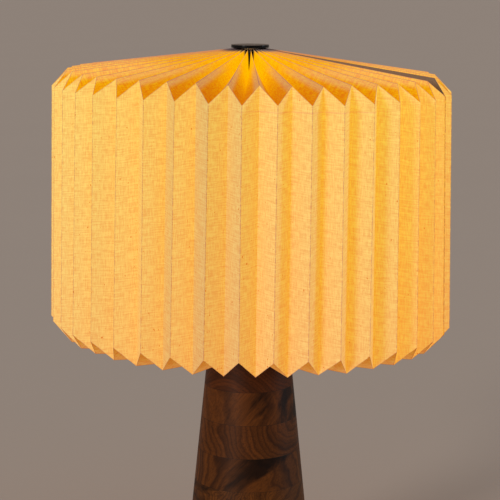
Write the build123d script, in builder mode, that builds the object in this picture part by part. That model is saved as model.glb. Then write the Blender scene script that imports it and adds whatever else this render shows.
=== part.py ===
# Pleated paper table lamp, in millimetres. +Z is up and the origin is at the middle of the foot, on the table.
# The front of the lamp looks along -Y. Azimuths are degrees from the front, growing towards +X.
import os
from math import atan2, cos, radians, sin, sqrt, tan

from build123d import *

os.makedirs("parts", exist_ok=True)

# ---------------------------------------------------------------- driving dimensions
# The walnut base: flat boards glued into a block and turned to a taper.
board_thickness = 25.0
board_count = 8
base_top_radius = 31.5
base_foot_radius = 51.7
foot_chamfer = 1.5
top_edge_round = 1.0
felt_thickness = 2.0
felt_recess = 1.0
felt_margin = 2.5

# The shade: one sheet in pleats, with both ends reverse-folded inwards.
pleat_count = 40
shade_radius = 150.0
valley_radius = 138.5
wall_height = 173.6
rim_rise = 12.5
roof_slope = 7.6
paper_thickness = 0.45
closed_fold_depth = 2.0
closing_steps = 3
front_ridge_azimuth = -2.3
seam_page = 8
seam_thickness = 0.4
seam_bare_steps = 1
seam_margin = 0.08

# The top: disc, washer, bush and stud.
disc_radius = 14.2
disc_thickness = 2.2
disc_edge_round = 0.5
stud_hole_roof = 1.1
boss_radius = 5.2
boss_length = 12.0
stud_radius = 3.0
stud_pitch = 1.0
stud_chamfer = 0.6
washer_radius = 8.2
washer_thickness = 0.8
bush_radius = 8.6
bush_flange_radius = 16.0
flange_thickness = 1.0
collar_wall = 0.9
lower_collar_wall = 1.2
lower_collar_height = 18.0
lower_flange_width = 3.6
lift_gap = 0.8
hub_plate_radius = 26.0
hub_plate_thickness = 1.5

# The harp: a narrow wire loop in a pressed saddle.
harp_half_width = 26.5
harp_wire_radius = 1.6
harp_bend_radius = 12.0
harp_block_length = 14.0
harp_block_width = 9.0
harp_block_height = 7.0
harp_block_round = 2.2
saddle_thickness = 1.5
saddle_width = 14.0
cup_wall = 1.2
cup_height = 12.0
saddle_lip = 0.6

# The lamp tube with its nuts and washers.
tube_radius = 5.0
tube_bore_radius = 3.6
neck_length = 44.0
nut_flats_radius = 8.5
nut_height = 6.0
tube_washer_radius = 11.0
tube_washer_thickness = 1.4
thread_engagement = 8.0

# The lampholder and the bulb.
holder_radius = 19.0
holder_wall = 1.6
holder_height = 46.0
holder_cap_height = 16.0
holder_cap_chamfer = 5.0
holder_lip_round = 0.8
screw_radius = 13.0
screw_wall = 0.5
screw_length = 22.0
screw_taper = 6.5
contact_radius = 4.3
contact_height = 3.0
contact_floor = 4.0
shell_hole_radius = 6.5
pip_height = 0.5
globe_radius = 22.5
bulb_length = 78.0
bulb_neck_height = 18.0

# The weight, its screws and the bush in the cord's hole.
weight_radius = 38.0
weight_thickness = 8.0
weight_hole_radius = 15.0
head_recess = 4.0
screw_count = 3
screw_circle_radius = 27.0
screw_shank_radius = 2.0
screw_head_radius = 3.8
screw_length_in_wood = 14.0
screw_start_azimuth = -90.0
chamber_radius = 13.5
cord_bore_radius = 3.5
cord_bush_wall = 2.0
cord_bush_flange = 2.2
cord_flange_thickness = 1.1
cord_seat_depth = 1.6
cord_height = 16.5

# Clearances.
seat_gap = 0.3
slip_gap = 0.3
running_gap = 0.06
thread_gap = 0.05

# ---------------------------------------------------------------- sizes worked out from them
half_pleat = 180.0 / pleat_count
pleat_chord = 2 * sin(radians(half_pleat) / 2)
roof_tan = tan(radians(roof_slope))
page_width = sqrt(
    (shade_radius - valley_radius * cos(radians(half_pleat))) ** 2
    + (valley_radius * sin(radians(half_pleat))) ** 2
)
ridge_half_angle = atan2(
    valley_radius * sin(radians(half_pleat)),
    shade_radius - valley_radius * cos(radians(half_pleat)),
)
valley_half_angle = ridge_half_angle + radians(half_pleat)

# The base, from the table up.
base_bottom = felt_thickness - felt_recess
base_top = base_bottom + board_count * board_thickness
tube_hole_radius = tube_radius + slip_gap
weight_top = felt_thickness + weight_thickness
cord_bush_radius = cord_bore_radius + cord_bush_wall
chamber_top = cord_height + cord_bush_radius + slip_gap
cord_flange_radius = cord_bush_radius + cord_bush_flange

# The harp's cups set how wide the lower collar has to be to lift off over them.
cup_radius = harp_wire_radius + running_gap + cup_wall
saddle_half_length = harp_half_width + cup_radius + saddle_lip
saddle_top = base_top + saddle_thickness
lower_collar_bore = saddle_half_length + lift_gap
foot_opening_radius = lower_collar_bore + lower_collar_wall
hub_opening_radius = bush_radius + running_gap + collar_wall

# The pages end flat against the two collars, so their corners stand a little further out.
hub_page_radius = hub_opening_radius / cos(radians(half_pleat) / 2)
foot_page_radius = foot_opening_radius / cos(radians(half_pleat) / 2)

# The shade, from its lower collar up to the hub.
shade_foot = base_top + flange_thickness
lower_valley_z = shade_foot + (valley_radius - foot_page_radius) * roof_tan
lower_ridge_z = lower_valley_z + rim_rise
upper_ridge_z = lower_ridge_z + wall_height
upper_valley_z = upper_ridge_z + rim_rise
shade_top = upper_valley_z + (valley_radius - hub_page_radius) * roof_tan


def fold_depth(radius):
    """How far the closing pleats stand, from ridge fold to valley fold, at a radius."""
    return sqrt(page_width**2 - (radius * pleat_chord) ** 2)


def skin_drop(depth, radius):
    """How far below the outer face the paper's depth shows, measured upright through a leaning page."""
    return min(depth * page_width / (radius * pleat_chord), closed_fold_depth * depth / paper_thickness)


def valley_underside(radius):
    """The lowest paper over a radius near the hub."""
    hub_z = shade_top - fold_depth(hub_page_radius) - skin_drop(paper_thickness, hub_page_radius)
    rim_z = upper_ridge_z - skin_drop(paper_thickness, valley_radius)
    share = (radius - hub_page_radius) / (shade_radius - hub_page_radius)
    return hub_z + (rim_z - hub_z) * share


# The hub, from the pleats down to the harp and up to the disc.
flange_top = valley_underside(bush_flange_radius) - seat_gap
plate_top = flange_top - flange_thickness
plate_bottom = plate_top - hub_plate_thickness
harp_wire_z = plate_bottom - harp_block_height / 2
disc_bottom = shade_top + seat_gap
disc_top = disc_bottom + disc_thickness
boss_bottom = disc_bottom - boss_length
bush_top = disc_bottom - washer_thickness
stud_hole_top = disc_top - stud_hole_roof
stud_top = stud_hole_top - slip_gap

# The lampholder and the bulb, on top of the tube.
holder_bottom = base_top + neck_length
holder_top = holder_bottom + holder_height
contact_z = holder_bottom + holder_cap_height + contact_floor
screw_bottom = contact_z + contact_height
screw_top = screw_bottom + screw_length
bulb_top = screw_bottom + bulb_length
globe_z = bulb_top - globe_radius


def base_radius(height):
    """The taper's radius at a height above the table."""
    share = (height - base_bottom) / (base_top - base_bottom)
    return base_foot_radius + (base_top_radius - base_foot_radius) * share


def spot(radius, azimuth, height):
    """A point by its radius, its azimuth from the front, and its height."""
    turn = radians(azimuth)
    return Vector(radius * sin(turn), -radius * cos(turn), height)


# The cord's hole opens at the back, in a flat seat cut into the taper.
cord_seat = base_radius(cord_height) - cord_seat_depth

# ---------------------------------------------------------------- the walnut base
with BuildPart() as felt_pad:
    with BuildSketch():
        Circle(base_foot_radius - felt_margin - slip_gap)
    extrude(amount=felt_thickness)

felt_pad.part.label = "felt_pad"
export_step(felt_pad.part, "parts/felt_pad.step")

for number in range(1, board_count + 1):
    low = base_bottom + (number - 1) * board_thickness
    high = low + board_thickness
    with BuildPart() as board:
        with BuildSketch(Plane.XZ):
            with BuildLine():
                Polyline(
                    (tube_hole_radius, low),
                    (base_radius(low), low),
                    (base_radius(high), high),
                    (tube_hole_radius, high),
                    close=True,
                )
            make_face()
        revolve(axis=Axis.Z)
        if number == 1:
            chamfer(board.edges().group_by(Axis.Z)[0].sort_by(SortBy.LENGTH)[-1], foot_chamfer)
            with BuildSketch(Plane.XY.offset(base_bottom)):
                Circle(base_foot_radius - felt_margin)
            extrude(amount=felt_recess, mode=Mode.SUBTRACT)
            with BuildSketch(Plane.XY.offset(base_bottom)):
                Circle(weight_radius + slip_gap)
            extrude(amount=weight_top - base_bottom, mode=Mode.SUBTRACT)
            with BuildSketch(Plane.XY.offset(base_bottom)):
                Circle(chamber_radius)
            extrude(amount=chamber_top - base_bottom, mode=Mode.SUBTRACT)
            with BuildSketch(Plane.XY.offset(weight_top)):
                with PolarLocations(screw_circle_radius, screw_count, start_angle=screw_start_azimuth):
                    Circle(screw_shank_radius + thread_gap)
            extrude(amount=screw_length_in_wood, mode=Mode.SUBTRACT)
            with BuildSketch(Plane.XZ):
                with Locations((0, cord_height)):
                    Circle(cord_bush_radius)
            extrude(amount=-base_foot_radius, mode=Mode.SUBTRACT)
            with BuildSketch(Plane.XZ.offset(-cord_seat)):
                with Locations((0, cord_height)):
                    Circle(cord_flange_radius + slip_gap)
            extrude(amount=-base_foot_radius, mode=Mode.SUBTRACT)
        if number == board_count:
            fillet(board.edges().group_by(Axis.Z)[-1].sort_by(SortBy.LENGTH)[-1], top_edge_round)
    board.part.label = f"walnut_board_{number}"
    export_step(board.part, f"parts/walnut_board_{number}.step")

with BuildPart() as weight:
    with BuildSketch(Plane.XY.offset(felt_thickness)):
        Circle(weight_radius)
        Circle(weight_hole_radius, mode=Mode.SUBTRACT)
        with PolarLocations(screw_circle_radius, screw_count, start_angle=screw_start_azimuth):
            Circle(screw_shank_radius + slip_gap, mode=Mode.SUBTRACT)
    extrude(amount=weight_thickness)
    with BuildSketch(Plane.XY.offset(felt_thickness)):
        with PolarLocations(screw_circle_radius, screw_count, start_angle=screw_start_azimuth):
            Circle(screw_head_radius + slip_gap)
    extrude(amount=head_recess, mode=Mode.SUBTRACT)

weight.part.label = "base_weight"
export_step(weight.part, "parts/base_weight.step")

with BuildPart() as weight_screws:
    head_top = felt_thickness + head_recess
    head_height = head_recess - slip_gap
    with BuildSketch(Plane.XY.offset(head_top - head_height)):
        with PolarLocations(screw_circle_radius, screw_count, start_angle=screw_start_azimuth):
            Circle(screw_head_radius)
    extrude(amount=head_height)
    with BuildSketch(Plane.XY.offset(head_top)):
        with PolarLocations(screw_circle_radius, screw_count, start_angle=screw_start_azimuth):
            Circle(screw_shank_radius)
    extrude(amount=weight_top - head_top + screw_length_in_wood - slip_gap)

weight_screws.part.label = "weight_screws"
export_step(weight_screws.part, "parts/weight_screws.step")

# ---------------------------------------------------------------- the bush in the cord's hole
with BuildPart() as cord_bush:
    with BuildSketch(Plane.XZ.offset(-chamber_radius)):
        with Locations((0, cord_height)):
            Circle(cord_bush_radius - thread_gap)
    extrude(amount=-(cord_seat - chamber_radius))
    with BuildSketch(Plane.XZ.offset(-cord_seat)):
        with Locations((0, cord_height)):
            Circle(cord_flange_radius)
    extrude(amount=-cord_flange_thickness)
    with BuildSketch(Plane.XZ.offset(-chamber_radius)):
        with Locations((0, cord_height)):
            Circle(cord_bore_radius)
    extrude(amount=-base_foot_radius, mode=Mode.SUBTRACT)

cord_bush.part.label = "cord_bush"
export_step(cord_bush.part, "parts/cord_bush.step")

# ---------------------------------------------------------------- the lamp tube and what clamps it
tube_bottom = chamber_top - tube_washer_thickness - nut_height - slip_gap
tube_top = holder_bottom + thread_engagement
with BuildPart() as lamp_tube:
    with BuildSketch(Plane.XY.offset(tube_bottom)):
        Circle(tube_radius)
        Circle(tube_bore_radius, mode=Mode.SUBTRACT)
    extrude(amount=tube_top - tube_bottom)

lamp_tube.part.label = "lamp_tube"
export_step(lamp_tube.part, "parts/lamp_tube.step")

with BuildPart() as tube_nuts:
    for nut_z in (chamber_top - tube_washer_thickness - nut_height, saddle_top):
        with BuildSketch(Plane.XY.offset(nut_z)):
            RegularPolygon(nut_flats_radius, 6, major_radius=False)
            Circle(tube_radius + thread_gap, mode=Mode.SUBTRACT)
        extrude(amount=nut_height)

tube_nuts.part.label = "tube_nuts"
export_step(tube_nuts.part, "parts/tube_nuts.step")

with BuildPart() as tube_washer:
    with BuildSketch(Plane.XY.offset(chamber_top - tube_washer_thickness)):
        Circle(tube_washer_radius)
        Circle(tube_hole_radius, mode=Mode.SUBTRACT)
    extrude(amount=tube_washer_thickness)

tube_washer.part.label = "tube_washer"
export_step(tube_washer.part, "parts/tube_washer.step")

# ---------------------------------------------------------------- the harp: saddle, wire loop, block, plate and stud
with BuildPart() as harp_saddle:
    with BuildSketch(Plane.XY.offset(base_top)):
        SlotOverall(2 * saddle_half_length, saddle_width)
        Circle(tube_radius + thread_gap, mode=Mode.SUBTRACT)
    extrude(amount=saddle_thickness)
    with BuildSketch(Plane.XY.offset(saddle_top)):
        with Locations((harp_half_width, 0), (-harp_half_width, 0)):
            Circle(cup_radius)
            Circle(harp_wire_radius + running_gap, mode=Mode.SUBTRACT)
    extrude(amount=cup_height)

harp_saddle.part.label = "harp_saddle"
export_step(harp_saddle.part, "parts/harp_saddle.step")

with BuildPart() as harp_loop:
    with BuildLine() as harp_path:
        FilletPolyline(
            (harp_half_width, 0, saddle_top),
            (harp_half_width, 0, harp_wire_z),
            (-harp_half_width, 0, harp_wire_z),
            (-harp_half_width, 0, saddle_top),
            radius=harp_bend_radius,
        )
    with BuildSketch(Plane.XY.offset(saddle_top)):
        with Locations((harp_half_width, 0)):
            Circle(harp_wire_radius)
    sweep(path=harp_path.line)

harp_loop.part.label = "harp_loop"
export_step(harp_loop.part, "parts/harp_loop.step")

with BuildPart() as harp_block:
    with BuildSketch(Plane.XY.offset(plate_bottom - harp_block_height)):
        RectangleRounded(harp_block_length, harp_block_width, harp_block_round)
    extrude(amount=harp_block_height)
    with BuildSketch(Plane.YZ.offset(-harp_block_length / 2)):
        with Locations((0, harp_wire_z)):
            Circle(harp_wire_radius + thread_gap)
    extrude(amount=harp_block_length, mode=Mode.SUBTRACT)
    with BuildSketch(Plane.XY.offset(harp_wire_z + harp_wire_radius)):
        Circle(stud_radius)
    extrude(amount=harp_block_height, mode=Mode.SUBTRACT)

harp_block.part.label = "harp_block"
export_step(harp_block.part, "parts/harp_block.step")

with BuildPart() as hub_plate:
    with BuildSketch(Plane.XY.offset(plate_bottom)):
        Circle(hub_plate_radius)
        Circle(stud_radius + thread_gap, mode=Mode.SUBTRACT)
    extrude(amount=hub_plate_thickness)

hub_plate.part.label = "hub_plate"
export_step(hub_plate.part, "parts/hub_plate.step")

with BuildPart() as hub_stud:
    with BuildSketch(Plane.XY.offset(harp_wire_z + harp_wire_radius)):
        Circle(stud_radius)
    extrude(amount=stud_top - harp_wire_z - harp_wire_radius)
    chamfer(hub_stud.edges().group_by(Axis.Z)[-1], stud_chamfer)

hub_stud.part.label = "hub_stud"
export_step(hub_stud.part, "parts/hub_stud.step")

# ---------------------------------------------------------------- the lampholder
holder_inner = holder_radius - holder_wall
cap_top = holder_bottom + holder_cap_height
with BuildPart() as holder_cap:
    with BuildSketch(Plane.XY.offset(holder_bottom)):
        Circle(holder_radius)
        Circle(tube_radius + thread_gap, mode=Mode.SUBTRACT)
    extrude(amount=holder_cap_height)
    chamfer(holder_cap.edges().group_by(Axis.Z)[0].sort_by(SortBy.LENGTH)[-1], holder_cap_chamfer)
    with BuildSketch(Plane.XY.offset(holder_bottom + thread_engagement)):
        Circle(holder_inner)
    extrude(amount=holder_cap_height, mode=Mode.SUBTRACT)

holder_cap.part.label = "holder_cap"
export_step(holder_cap.part, "parts/holder_cap.step")

with BuildPart() as holder_skirt:
    with BuildSketch(Plane.XY.offset(cap_top)):
        Circle(holder_radius)
        Circle(holder_inner, mode=Mode.SUBTRACT)
    extrude(amount=holder_top - cap_top)
    fillet(holder_skirt.edges().group_by(Axis.Z)[-1].sort_by(SortBy.LENGTH)[-1], holder_lip_round)

holder_skirt.part.label = "holder_skirt"
export_step(holder_skirt.part, "parts/holder_skirt.step")

shell_radius = screw_radius + slip_gap
shell_outer = shell_radius + screw_wall
with BuildPart() as holder_insert:
    with BuildSketch(Plane.XY.offset(cap_top)):
        Circle(holder_inner - thread_gap)
    extrude(amount=holder_top - cap_top - holder_wall)
    with BuildSketch(Plane.XY.offset(contact_z - screw_wall)):
        Circle(shell_outer)
    extrude(amount=holder_height, mode=Mode.SUBTRACT)

holder_insert.part.label = "holder_insert"
export_step(holder_insert.part, "parts/holder_insert.step")

with BuildPart() as screw_shell:
    with BuildSketch(Plane.XY.offset(contact_z - screw_wall)):
        Circle(shell_outer)
    extrude(amount=holder_top - holder_wall - contact_z)
    with BuildSketch(Plane.XY.offset(contact_z)):
        Circle(shell_radius)
    extrude(amount=holder_height, mode=Mode.SUBTRACT)
    with BuildSketch(Plane.XY.offset(contact_z - screw_wall)):
        Circle(shell_hole_radius)
    extrude(amount=screw_wall, mode=Mode.SUBTRACT)

screw_shell.part.label = "screw_shell"
export_step(screw_shell.part, "parts/screw_shell.step")

with BuildPart() as centre_contact:
    with BuildSketch(Plane.XY.offset(contact_z - screw_wall)):
        Circle(contact_radius)
    extrude(amount=contact_height)

centre_contact.part.label = "centre_contact"
export_step(centre_contact.part, "parts/centre_contact.step")

# ---------------------------------------------------------------- the bulb
with BuildPart() as bulb_contact:
    with BuildSketch(Plane.XY.offset(screw_bottom - pip_height)):
        Circle(contact_radius)
    extrude(amount=pip_height)

bulb_contact.part.label = "bulb_contact"
export_step(bulb_contact.part, "parts/bulb_contact.step")

with BuildPart() as bulb_cap:
    with BuildSketch(Plane.XZ):
        with BuildLine():
            Polyline(
                (0, screw_bottom),
                (contact_radius, screw_bottom),
                (screw_radius, screw_bottom + screw_taper),
                (screw_radius, screw_top),
                (0, screw_top),
                close=True,
            )
        make_face()
    revolve(axis=Axis.Z)

bulb_cap.part.label = "bulb_cap"
export_step(bulb_cap.part, "parts/bulb_cap.step")

neck_top = screw_top + bulb_neck_height
neck_radius = sqrt(globe_radius**2 - (globe_z - neck_top) ** 2)
with BuildPart() as bulb_neck:
    with BuildSketch(Plane.XZ):
        with BuildLine():
            Line((0, screw_top), (screw_radius, screw_top))
            Spline(
                (screw_radius, screw_top),
                (neck_radius, neck_top),
                tangents=((0, 1), (globe_z - neck_top, neck_radius)),
            )
            Line((neck_radius, neck_top), (0, neck_top))
            Line((0, neck_top), (0, screw_top))
        make_face()
    revolve(axis=Axis.Z)

bulb_neck.part.label = "bulb_neck"
export_step(bulb_neck.part, "parts/bulb_neck.step")

with BuildPart() as bulb_globe:
    with Locations((0, 0, globe_z)):
        Sphere(globe_radius)
    split(bisect_by=Plane.XY.offset(neck_top), keep=Keep.TOP)

bulb_globe.part.label = "bulb_globe"
export_step(bulb_globe.part, "parts/bulb_globe.step")

# ---------------------------------------------------------------- the hub that the shade lifts and turns on
with BuildPart() as hub_bush:
    with BuildSketch(Plane.XY.offset(plate_top)):
        Circle(bush_flange_radius)
    extrude(amount=flange_thickness)
    with BuildSketch(Plane.XY.offset(flange_top)):
        Circle(bush_radius)
    extrude(amount=bush_top - flange_top)
    with BuildSketch(Plane.XY.offset(plate_top)):
        Circle(stud_radius + slip_gap)
    extrude(amount=bush_top - plate_top, mode=Mode.SUBTRACT)
    with BuildSketch(Plane.XY.offset(boss_bottom - slip_gap)):
        Circle(boss_radius + slip_gap)
    extrude(amount=boss_length, mode=Mode.SUBTRACT)

hub_bush.part.label = "hub_bush"
export_step(hub_bush.part, "parts/hub_bush.step")

with BuildPart() as upper_collar:
    with BuildSketch(Plane.XY.offset(flange_top)):
        Circle(hub_opening_radius)
        Circle(bush_radius + running_gap, mode=Mode.SUBTRACT)
    extrude(amount=bush_top - flange_top - seat_gap)

upper_collar.part.label = "upper_collar"
export_step(upper_collar.part, "parts/upper_collar.step")

with BuildPart() as lower_collar:
    with BuildSketch(Plane.XY.offset(base_top)):
        Circle(foot_opening_radius + lower_flange_width)
        Circle(lower_collar_bore, mode=Mode.SUBTRACT)
    extrude(amount=flange_thickness)
    with BuildSketch(Plane.XY.offset(shade_foot)):
        Circle(foot_opening_radius)
        Circle(lower_collar_bore, mode=Mode.SUBTRACT)
    extrude(amount=lower_collar_height)

lower_collar.part.label = "lower_collar"
export_step(lower_collar.part, "parts/lower_collar.step")

with BuildPart() as finial_washer:
    with BuildSketch(Plane.XY.offset(bush_top)):
        Circle(washer_radius)
        Circle(boss_radius + slip_gap, mode=Mode.SUBTRACT)
    extrude(amount=washer_thickness)

finial_washer.part.label = "finial_washer"
export_step(finial_washer.part, "parts/finial_washer.step")

with BuildPart() as finial_disc:
    with BuildSketch(Plane.XY.offset(disc_bottom)):
        Circle(disc_radius)
    extrude(amount=disc_thickness)
    fillet(finial_disc.edges().group_by(Axis.Z)[-1], disc_edge_round)
    with BuildSketch(Plane.XY.offset(boss_bottom)):
        Circle(boss_radius)
    extrude(amount=boss_length)
    with BuildSketch(Plane.XY.offset(boss_bottom)):
        Circle(stud_radius + thread_gap)
    extrude(amount=stud_hole_top - boss_bottom, mode=Mode.SUBTRACT)

finial_disc.part.label = "finial_disc"
export_step(finial_disc.part, "parts/finial_disc.step")


# ---------------------------------------------------------------- the pleated shade
# A page is the strip of paper between a ridge fold and the valley fold beside it. It starts at the hub, runs
# out as the roof, turns down at the rim as the wall, and turns in again as the underside. Its width never
# changes, so as the folds close in towards the axis the pleats stand up deeper, and paper can't twist: on the
# roof and the underside a page bends in flat facets across its diagonals.
def page_ends(depth, ridge_azimuth, valley_azimuth):
    """Where a page's two folds meet the hub, the upper rim, the lower rim and the lower collar.

    Depth is measured into the paper from its outer face.
    """
    wall_ridge = shade_radius - depth / sin(ridge_half_angle)
    wall_valley = valley_radius - depth / sin(valley_half_angle)
    rim_drop = skin_drop(depth, valley_radius)
    hub_drop = skin_drop(depth, hub_page_radius)
    foot_drop = skin_drop(depth, foot_page_radius)
    hub = (
        spot(hub_page_radius, ridge_azimuth, shade_top - fold_depth(hub_page_radius) - hub_drop),
        spot(hub_page_radius, valley_azimuth, shade_top - hub_drop),
    )
    upper_rim = (
        spot(wall_ridge, ridge_azimuth, upper_ridge_z - rim_drop),
        spot(wall_valley, valley_azimuth, upper_valley_z - rim_drop),
    )
    lower_rim = (
        spot(wall_ridge, ridge_azimuth, lower_ridge_z + rim_drop),
        spot(wall_valley, valley_azimuth, lower_valley_z + rim_drop),
    )
    foot = (
        spot(foot_page_radius, ridge_azimuth, shade_foot + fold_depth(foot_page_radius) + foot_drop),
        spot(foot_page_radius, valley_azimuth, shade_foot + foot_drop),
    )
    return hub, upper_rim, lower_rim, foot


def closing_stretch(inner, outer):
    """The places where a closing page bends, as pairs of points on its two folds, from its inner end out."""
    pairs = [inner]
    for step in range(1, closing_steps + 1):
        share = step / closing_steps
        ridge, valley = (a + (b - a) * share for a, b in zip(inner, outer))
        pairs.append((pairs[-1][0], valley))
        pairs.append((ridge, valley))
    return pairs


def page_stations(depth, ridge_azimuth, valley_azimuth):
    """All the bends of a page, from the hub to the lower collar."""
    hub, upper_rim, lower_rim, foot = page_ends(depth, ridge_azimuth, valley_azimuth)
    return closing_stretch(hub, upper_rim) + closing_stretch(foot, lower_rim)[::-1]


def flat_face(*corners):
    """The flat face with these corners, in order, where two that fall together count once."""
    different = [a for a, b in zip(corners, corners[1:] + corners[:1]) if (a - b).length > 1e-6]
    return Face(Wire.make_polygon(different, close=True))


def page_faces(stations):
    """The facets of one side of a page, between each two bends."""
    return [flat_face(*here, *there[::-1]) for here, there in zip(stations, stations[1:])]


def cap_face(outer_pair, inner_pair):
    """The narrow face that closes a sheet between its two sides."""
    return Face.make_bezier_surface([list(outer_pair), list(inner_pair)])


def strip_stations(depth, ridge_azimuth, valley_azimuth):
    """The bends of a strip glued on a page, which leaves its two ends and a share of its width bare."""
    stations = page_stations(depth, ridge_azimuth, valley_azimuth)
    covered = stations[2 * seam_bare_steps : -2 * seam_bare_steps]
    return [(low + (high - low) * seam_margin, high + (low - high) * seam_margin) for low, high in covered]


def fold_azimuths(page):
    """The azimuths of a page's ridge fold and valley fold. Pages 2k and 2k - 1 share ridge k."""
    ridge = front_ridge_azimuth + 2 * half_pleat * ((page + 1) // 2)
    valley = front_ridge_azimuth + half_pleat * (2 * (page // 2) + 1)
    return ridge, valley


# The sheet's three stretches are a solid each, and meet at the folds of the two rims.
upper_bend = 2 * closing_steps
last_bend = 2 * upper_bend + 1
stretches = {
    "shade_roof": (0, upper_bend),
    "shade_wall": (upper_bend, upper_bend + 1),
    "shade_underside": (upper_bend + 1, last_bend),
}
for stretch, (first, last) in stretches.items():
    faces = []
    for page in range(2 * pleat_count):
        outer = page_stations(0, *fold_azimuths(page))[first : last + 1]
        inner = page_stations(paper_thickness, *fold_azimuths(page))[first : last + 1]
        faces += page_faces(outer) + page_faces(inner)
        faces += [cap_face(outer[0], inner[0]), cap_face(outer[-1], inner[-1])]
    with BuildPart() as pleats:
        add(Solid(Shell(faces)))
    pleats.part.label = stretch
    export_step(pleats.part, f"parts/{stretch}.step")

# The sheet's two ends overlap on one page, and a stiff strip glued behind it hides the joint.
seam_azimuths = fold_azimuths(2 * seam_page)
seam_outer = strip_stations(paper_thickness, *seam_azimuths)
seam_inner = strip_stations(paper_thickness + seam_thickness, *seam_azimuths)
seam_faces = page_faces(seam_outer) + page_faces(seam_inner)
seam_faces += [cap_face(seam_outer[0], seam_inner[0]), cap_face(seam_outer[-1], seam_inner[-1])]
for edge in (0, 1):
    outer_edge = [station[edge] for station in seam_outer]
    inner_edge = [station[edge] for station in seam_inner]
    for step in range(len(outer_edge) - 1):
        seam_faces.append(cap_face(outer_edge[step : step + 2], inner_edge[step : step + 2]))

with BuildPart() as seam_strip:
    add(Solid(Shell(seam_faces)))

seam_strip.part.label = "seam_strip"
export_step(seam_strip.part, "parts/seam_strip.step")
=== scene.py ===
# %% [markdown]
# # A pleated paper table lamp
# The lamp is a tapered block of laminated walnut that carries a drum of pleated, linen-faced paper. The
# paper is a single strip. Its pleats are reverse-folded at two rims, so it closes itself into a roof and
# an underside. The rigid pieces come finished in shape from the CAD model. Here they get their surfaces,
# and the pieces that CAD holds only as plain stand-ins (the paper, the card behind its joint, two screw
# threads) are made in full.

# %% Load the lamp's rigid frame
import math
import random

import bmesh
import bpy
from mathutils import Matrix, Vector


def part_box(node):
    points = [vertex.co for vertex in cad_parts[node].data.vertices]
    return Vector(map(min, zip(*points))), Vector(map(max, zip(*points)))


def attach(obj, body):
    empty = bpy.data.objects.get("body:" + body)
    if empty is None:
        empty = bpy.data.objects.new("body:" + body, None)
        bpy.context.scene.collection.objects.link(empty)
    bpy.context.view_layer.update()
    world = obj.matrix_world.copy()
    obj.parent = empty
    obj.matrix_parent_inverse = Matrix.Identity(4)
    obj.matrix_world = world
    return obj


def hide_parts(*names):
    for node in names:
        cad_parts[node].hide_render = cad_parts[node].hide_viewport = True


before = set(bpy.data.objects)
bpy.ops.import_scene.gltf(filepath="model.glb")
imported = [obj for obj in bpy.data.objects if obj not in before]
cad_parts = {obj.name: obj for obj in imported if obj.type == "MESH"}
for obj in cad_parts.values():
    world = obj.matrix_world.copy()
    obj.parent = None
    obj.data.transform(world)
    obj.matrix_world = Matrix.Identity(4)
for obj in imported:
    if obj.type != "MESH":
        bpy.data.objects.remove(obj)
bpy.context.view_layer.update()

# %% [markdown]
# ## Where the eye is
# The photograph was taken with a long lens, from a little above the shade's roof. A long lens set far
# back keeps the front pleats from bulging, so the camera stands 1.2 m off instead of close up. The
# picture's upper edge comes just above the disc, and a small shift of the lens frames that without
# tilting more.

# %% Set up the camera
EYE_BACK = 1.2221
EYE_HEIGHT = 0.4985
LOOK_DOWN = 8.439
LENS_LEAN = 0.20

eye = bpy.data.cameras.new("eye")
eye.sensor_width = 36.0
eye.lens = 117.56
eye.shift_x = 0.00088
eye.shift_y = -0.10
eye.clip_end = 200.0

camera = bpy.data.objects.new("camera", eye)
tilt = Matrix.Rotation(math.radians(90.0 - LOOK_DOWN), 4, "X")
lean = Matrix.Rotation(math.radians(LENS_LEAN), 4, "Z")
camera.matrix_world = Matrix.Translation((0.0, -EYE_BACK, EYE_HEIGHT)) @ tilt @ lean
bpy.context.scene.collection.objects.link(camera)
bpy.context.scene.camera = camera
print("camera at", tuple(round(c, 3) for c in camera.matrix_world.translation))

# %% [markdown]
# ## Small tools for building surfaces
# A procedural surface is a tree of nodes. Placing them by hand takes four lines a node, so `put` adds one
# node, fills its enabled inputs in order, by value or by link, and returns it. `sums` does one step of
# arithmetic, the commonest node of all. `vectors` does the same with places, and `parts` takes a place
# apart into its three numbers.

# %% Helpers that place a node
def put(tree, kind, *inputs, **settings):
    """Adds a node, makes its settings, and fills its inputs in order with values or links."""
    made = tree.nodes.new(kind)
    for name, value in settings.items():
        setattr(made, name, value)
    open_inputs = [socket for socket in made.inputs if socket.enabled]
    for socket, value in zip(open_inputs, inputs):
        if isinstance(value, bpy.types.NodeSocket):
            tree.links.new(value, socket)
        elif value is not None:
            socket.default_value = value
    return made


def sums(tree, operation, *values, clamp=False):
    """One step of arithmetic on numbers that change over the surface."""
    return put(tree, "ShaderNodeMath", *values, operation=operation, use_clamp=clamp).outputs[0]


def vectors(tree, operation, first, second):
    """One step of arithmetic on two places or directions."""
    made = put(tree, "ShaderNodeVectorMath", first, second, operation=operation)
    return made.outputs["Value" if operation == "DOT_PRODUCT" else "Vector"]


def parts(tree, vector):
    """A place or direction taken apart, with outputs named X, Y and Z."""
    return put(tree, "ShaderNodeSeparateXYZ", vector).outputs


print("node helpers: put, sums, vectors, parts")

# %% [markdown]
# Nearly every surface here is built from the same few moves. A mask is noise put through a soft step, two
# colours are mixed by that mask, and the noise is first stretched along a thread or a grain, so that it
# makes streaks and not clouds. Each move gets a helper, and a recipe further down then reads as one move
# a line.

# %% Helpers that mix, step and stretch
def mixed(tree, share, first, second, how="MIX"):
    """Two colours mixed by a share from 0 to 1."""
    made = put(tree, "ShaderNodeMix", share, first, second, data_type="RGBA", blend_type=how)
    return next(socket for socket in made.outputs if socket.enabled)


def soft_step(tree, value, low, high, below=0.0, above=1.0):
    """A smooth change from one level to another while a value goes from low to high."""
    made = put(tree, "ShaderNodeMapRange", value, low, high, below, above, interpolation_type="SMOOTHSTEP")
    return made.outputs[0]


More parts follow.
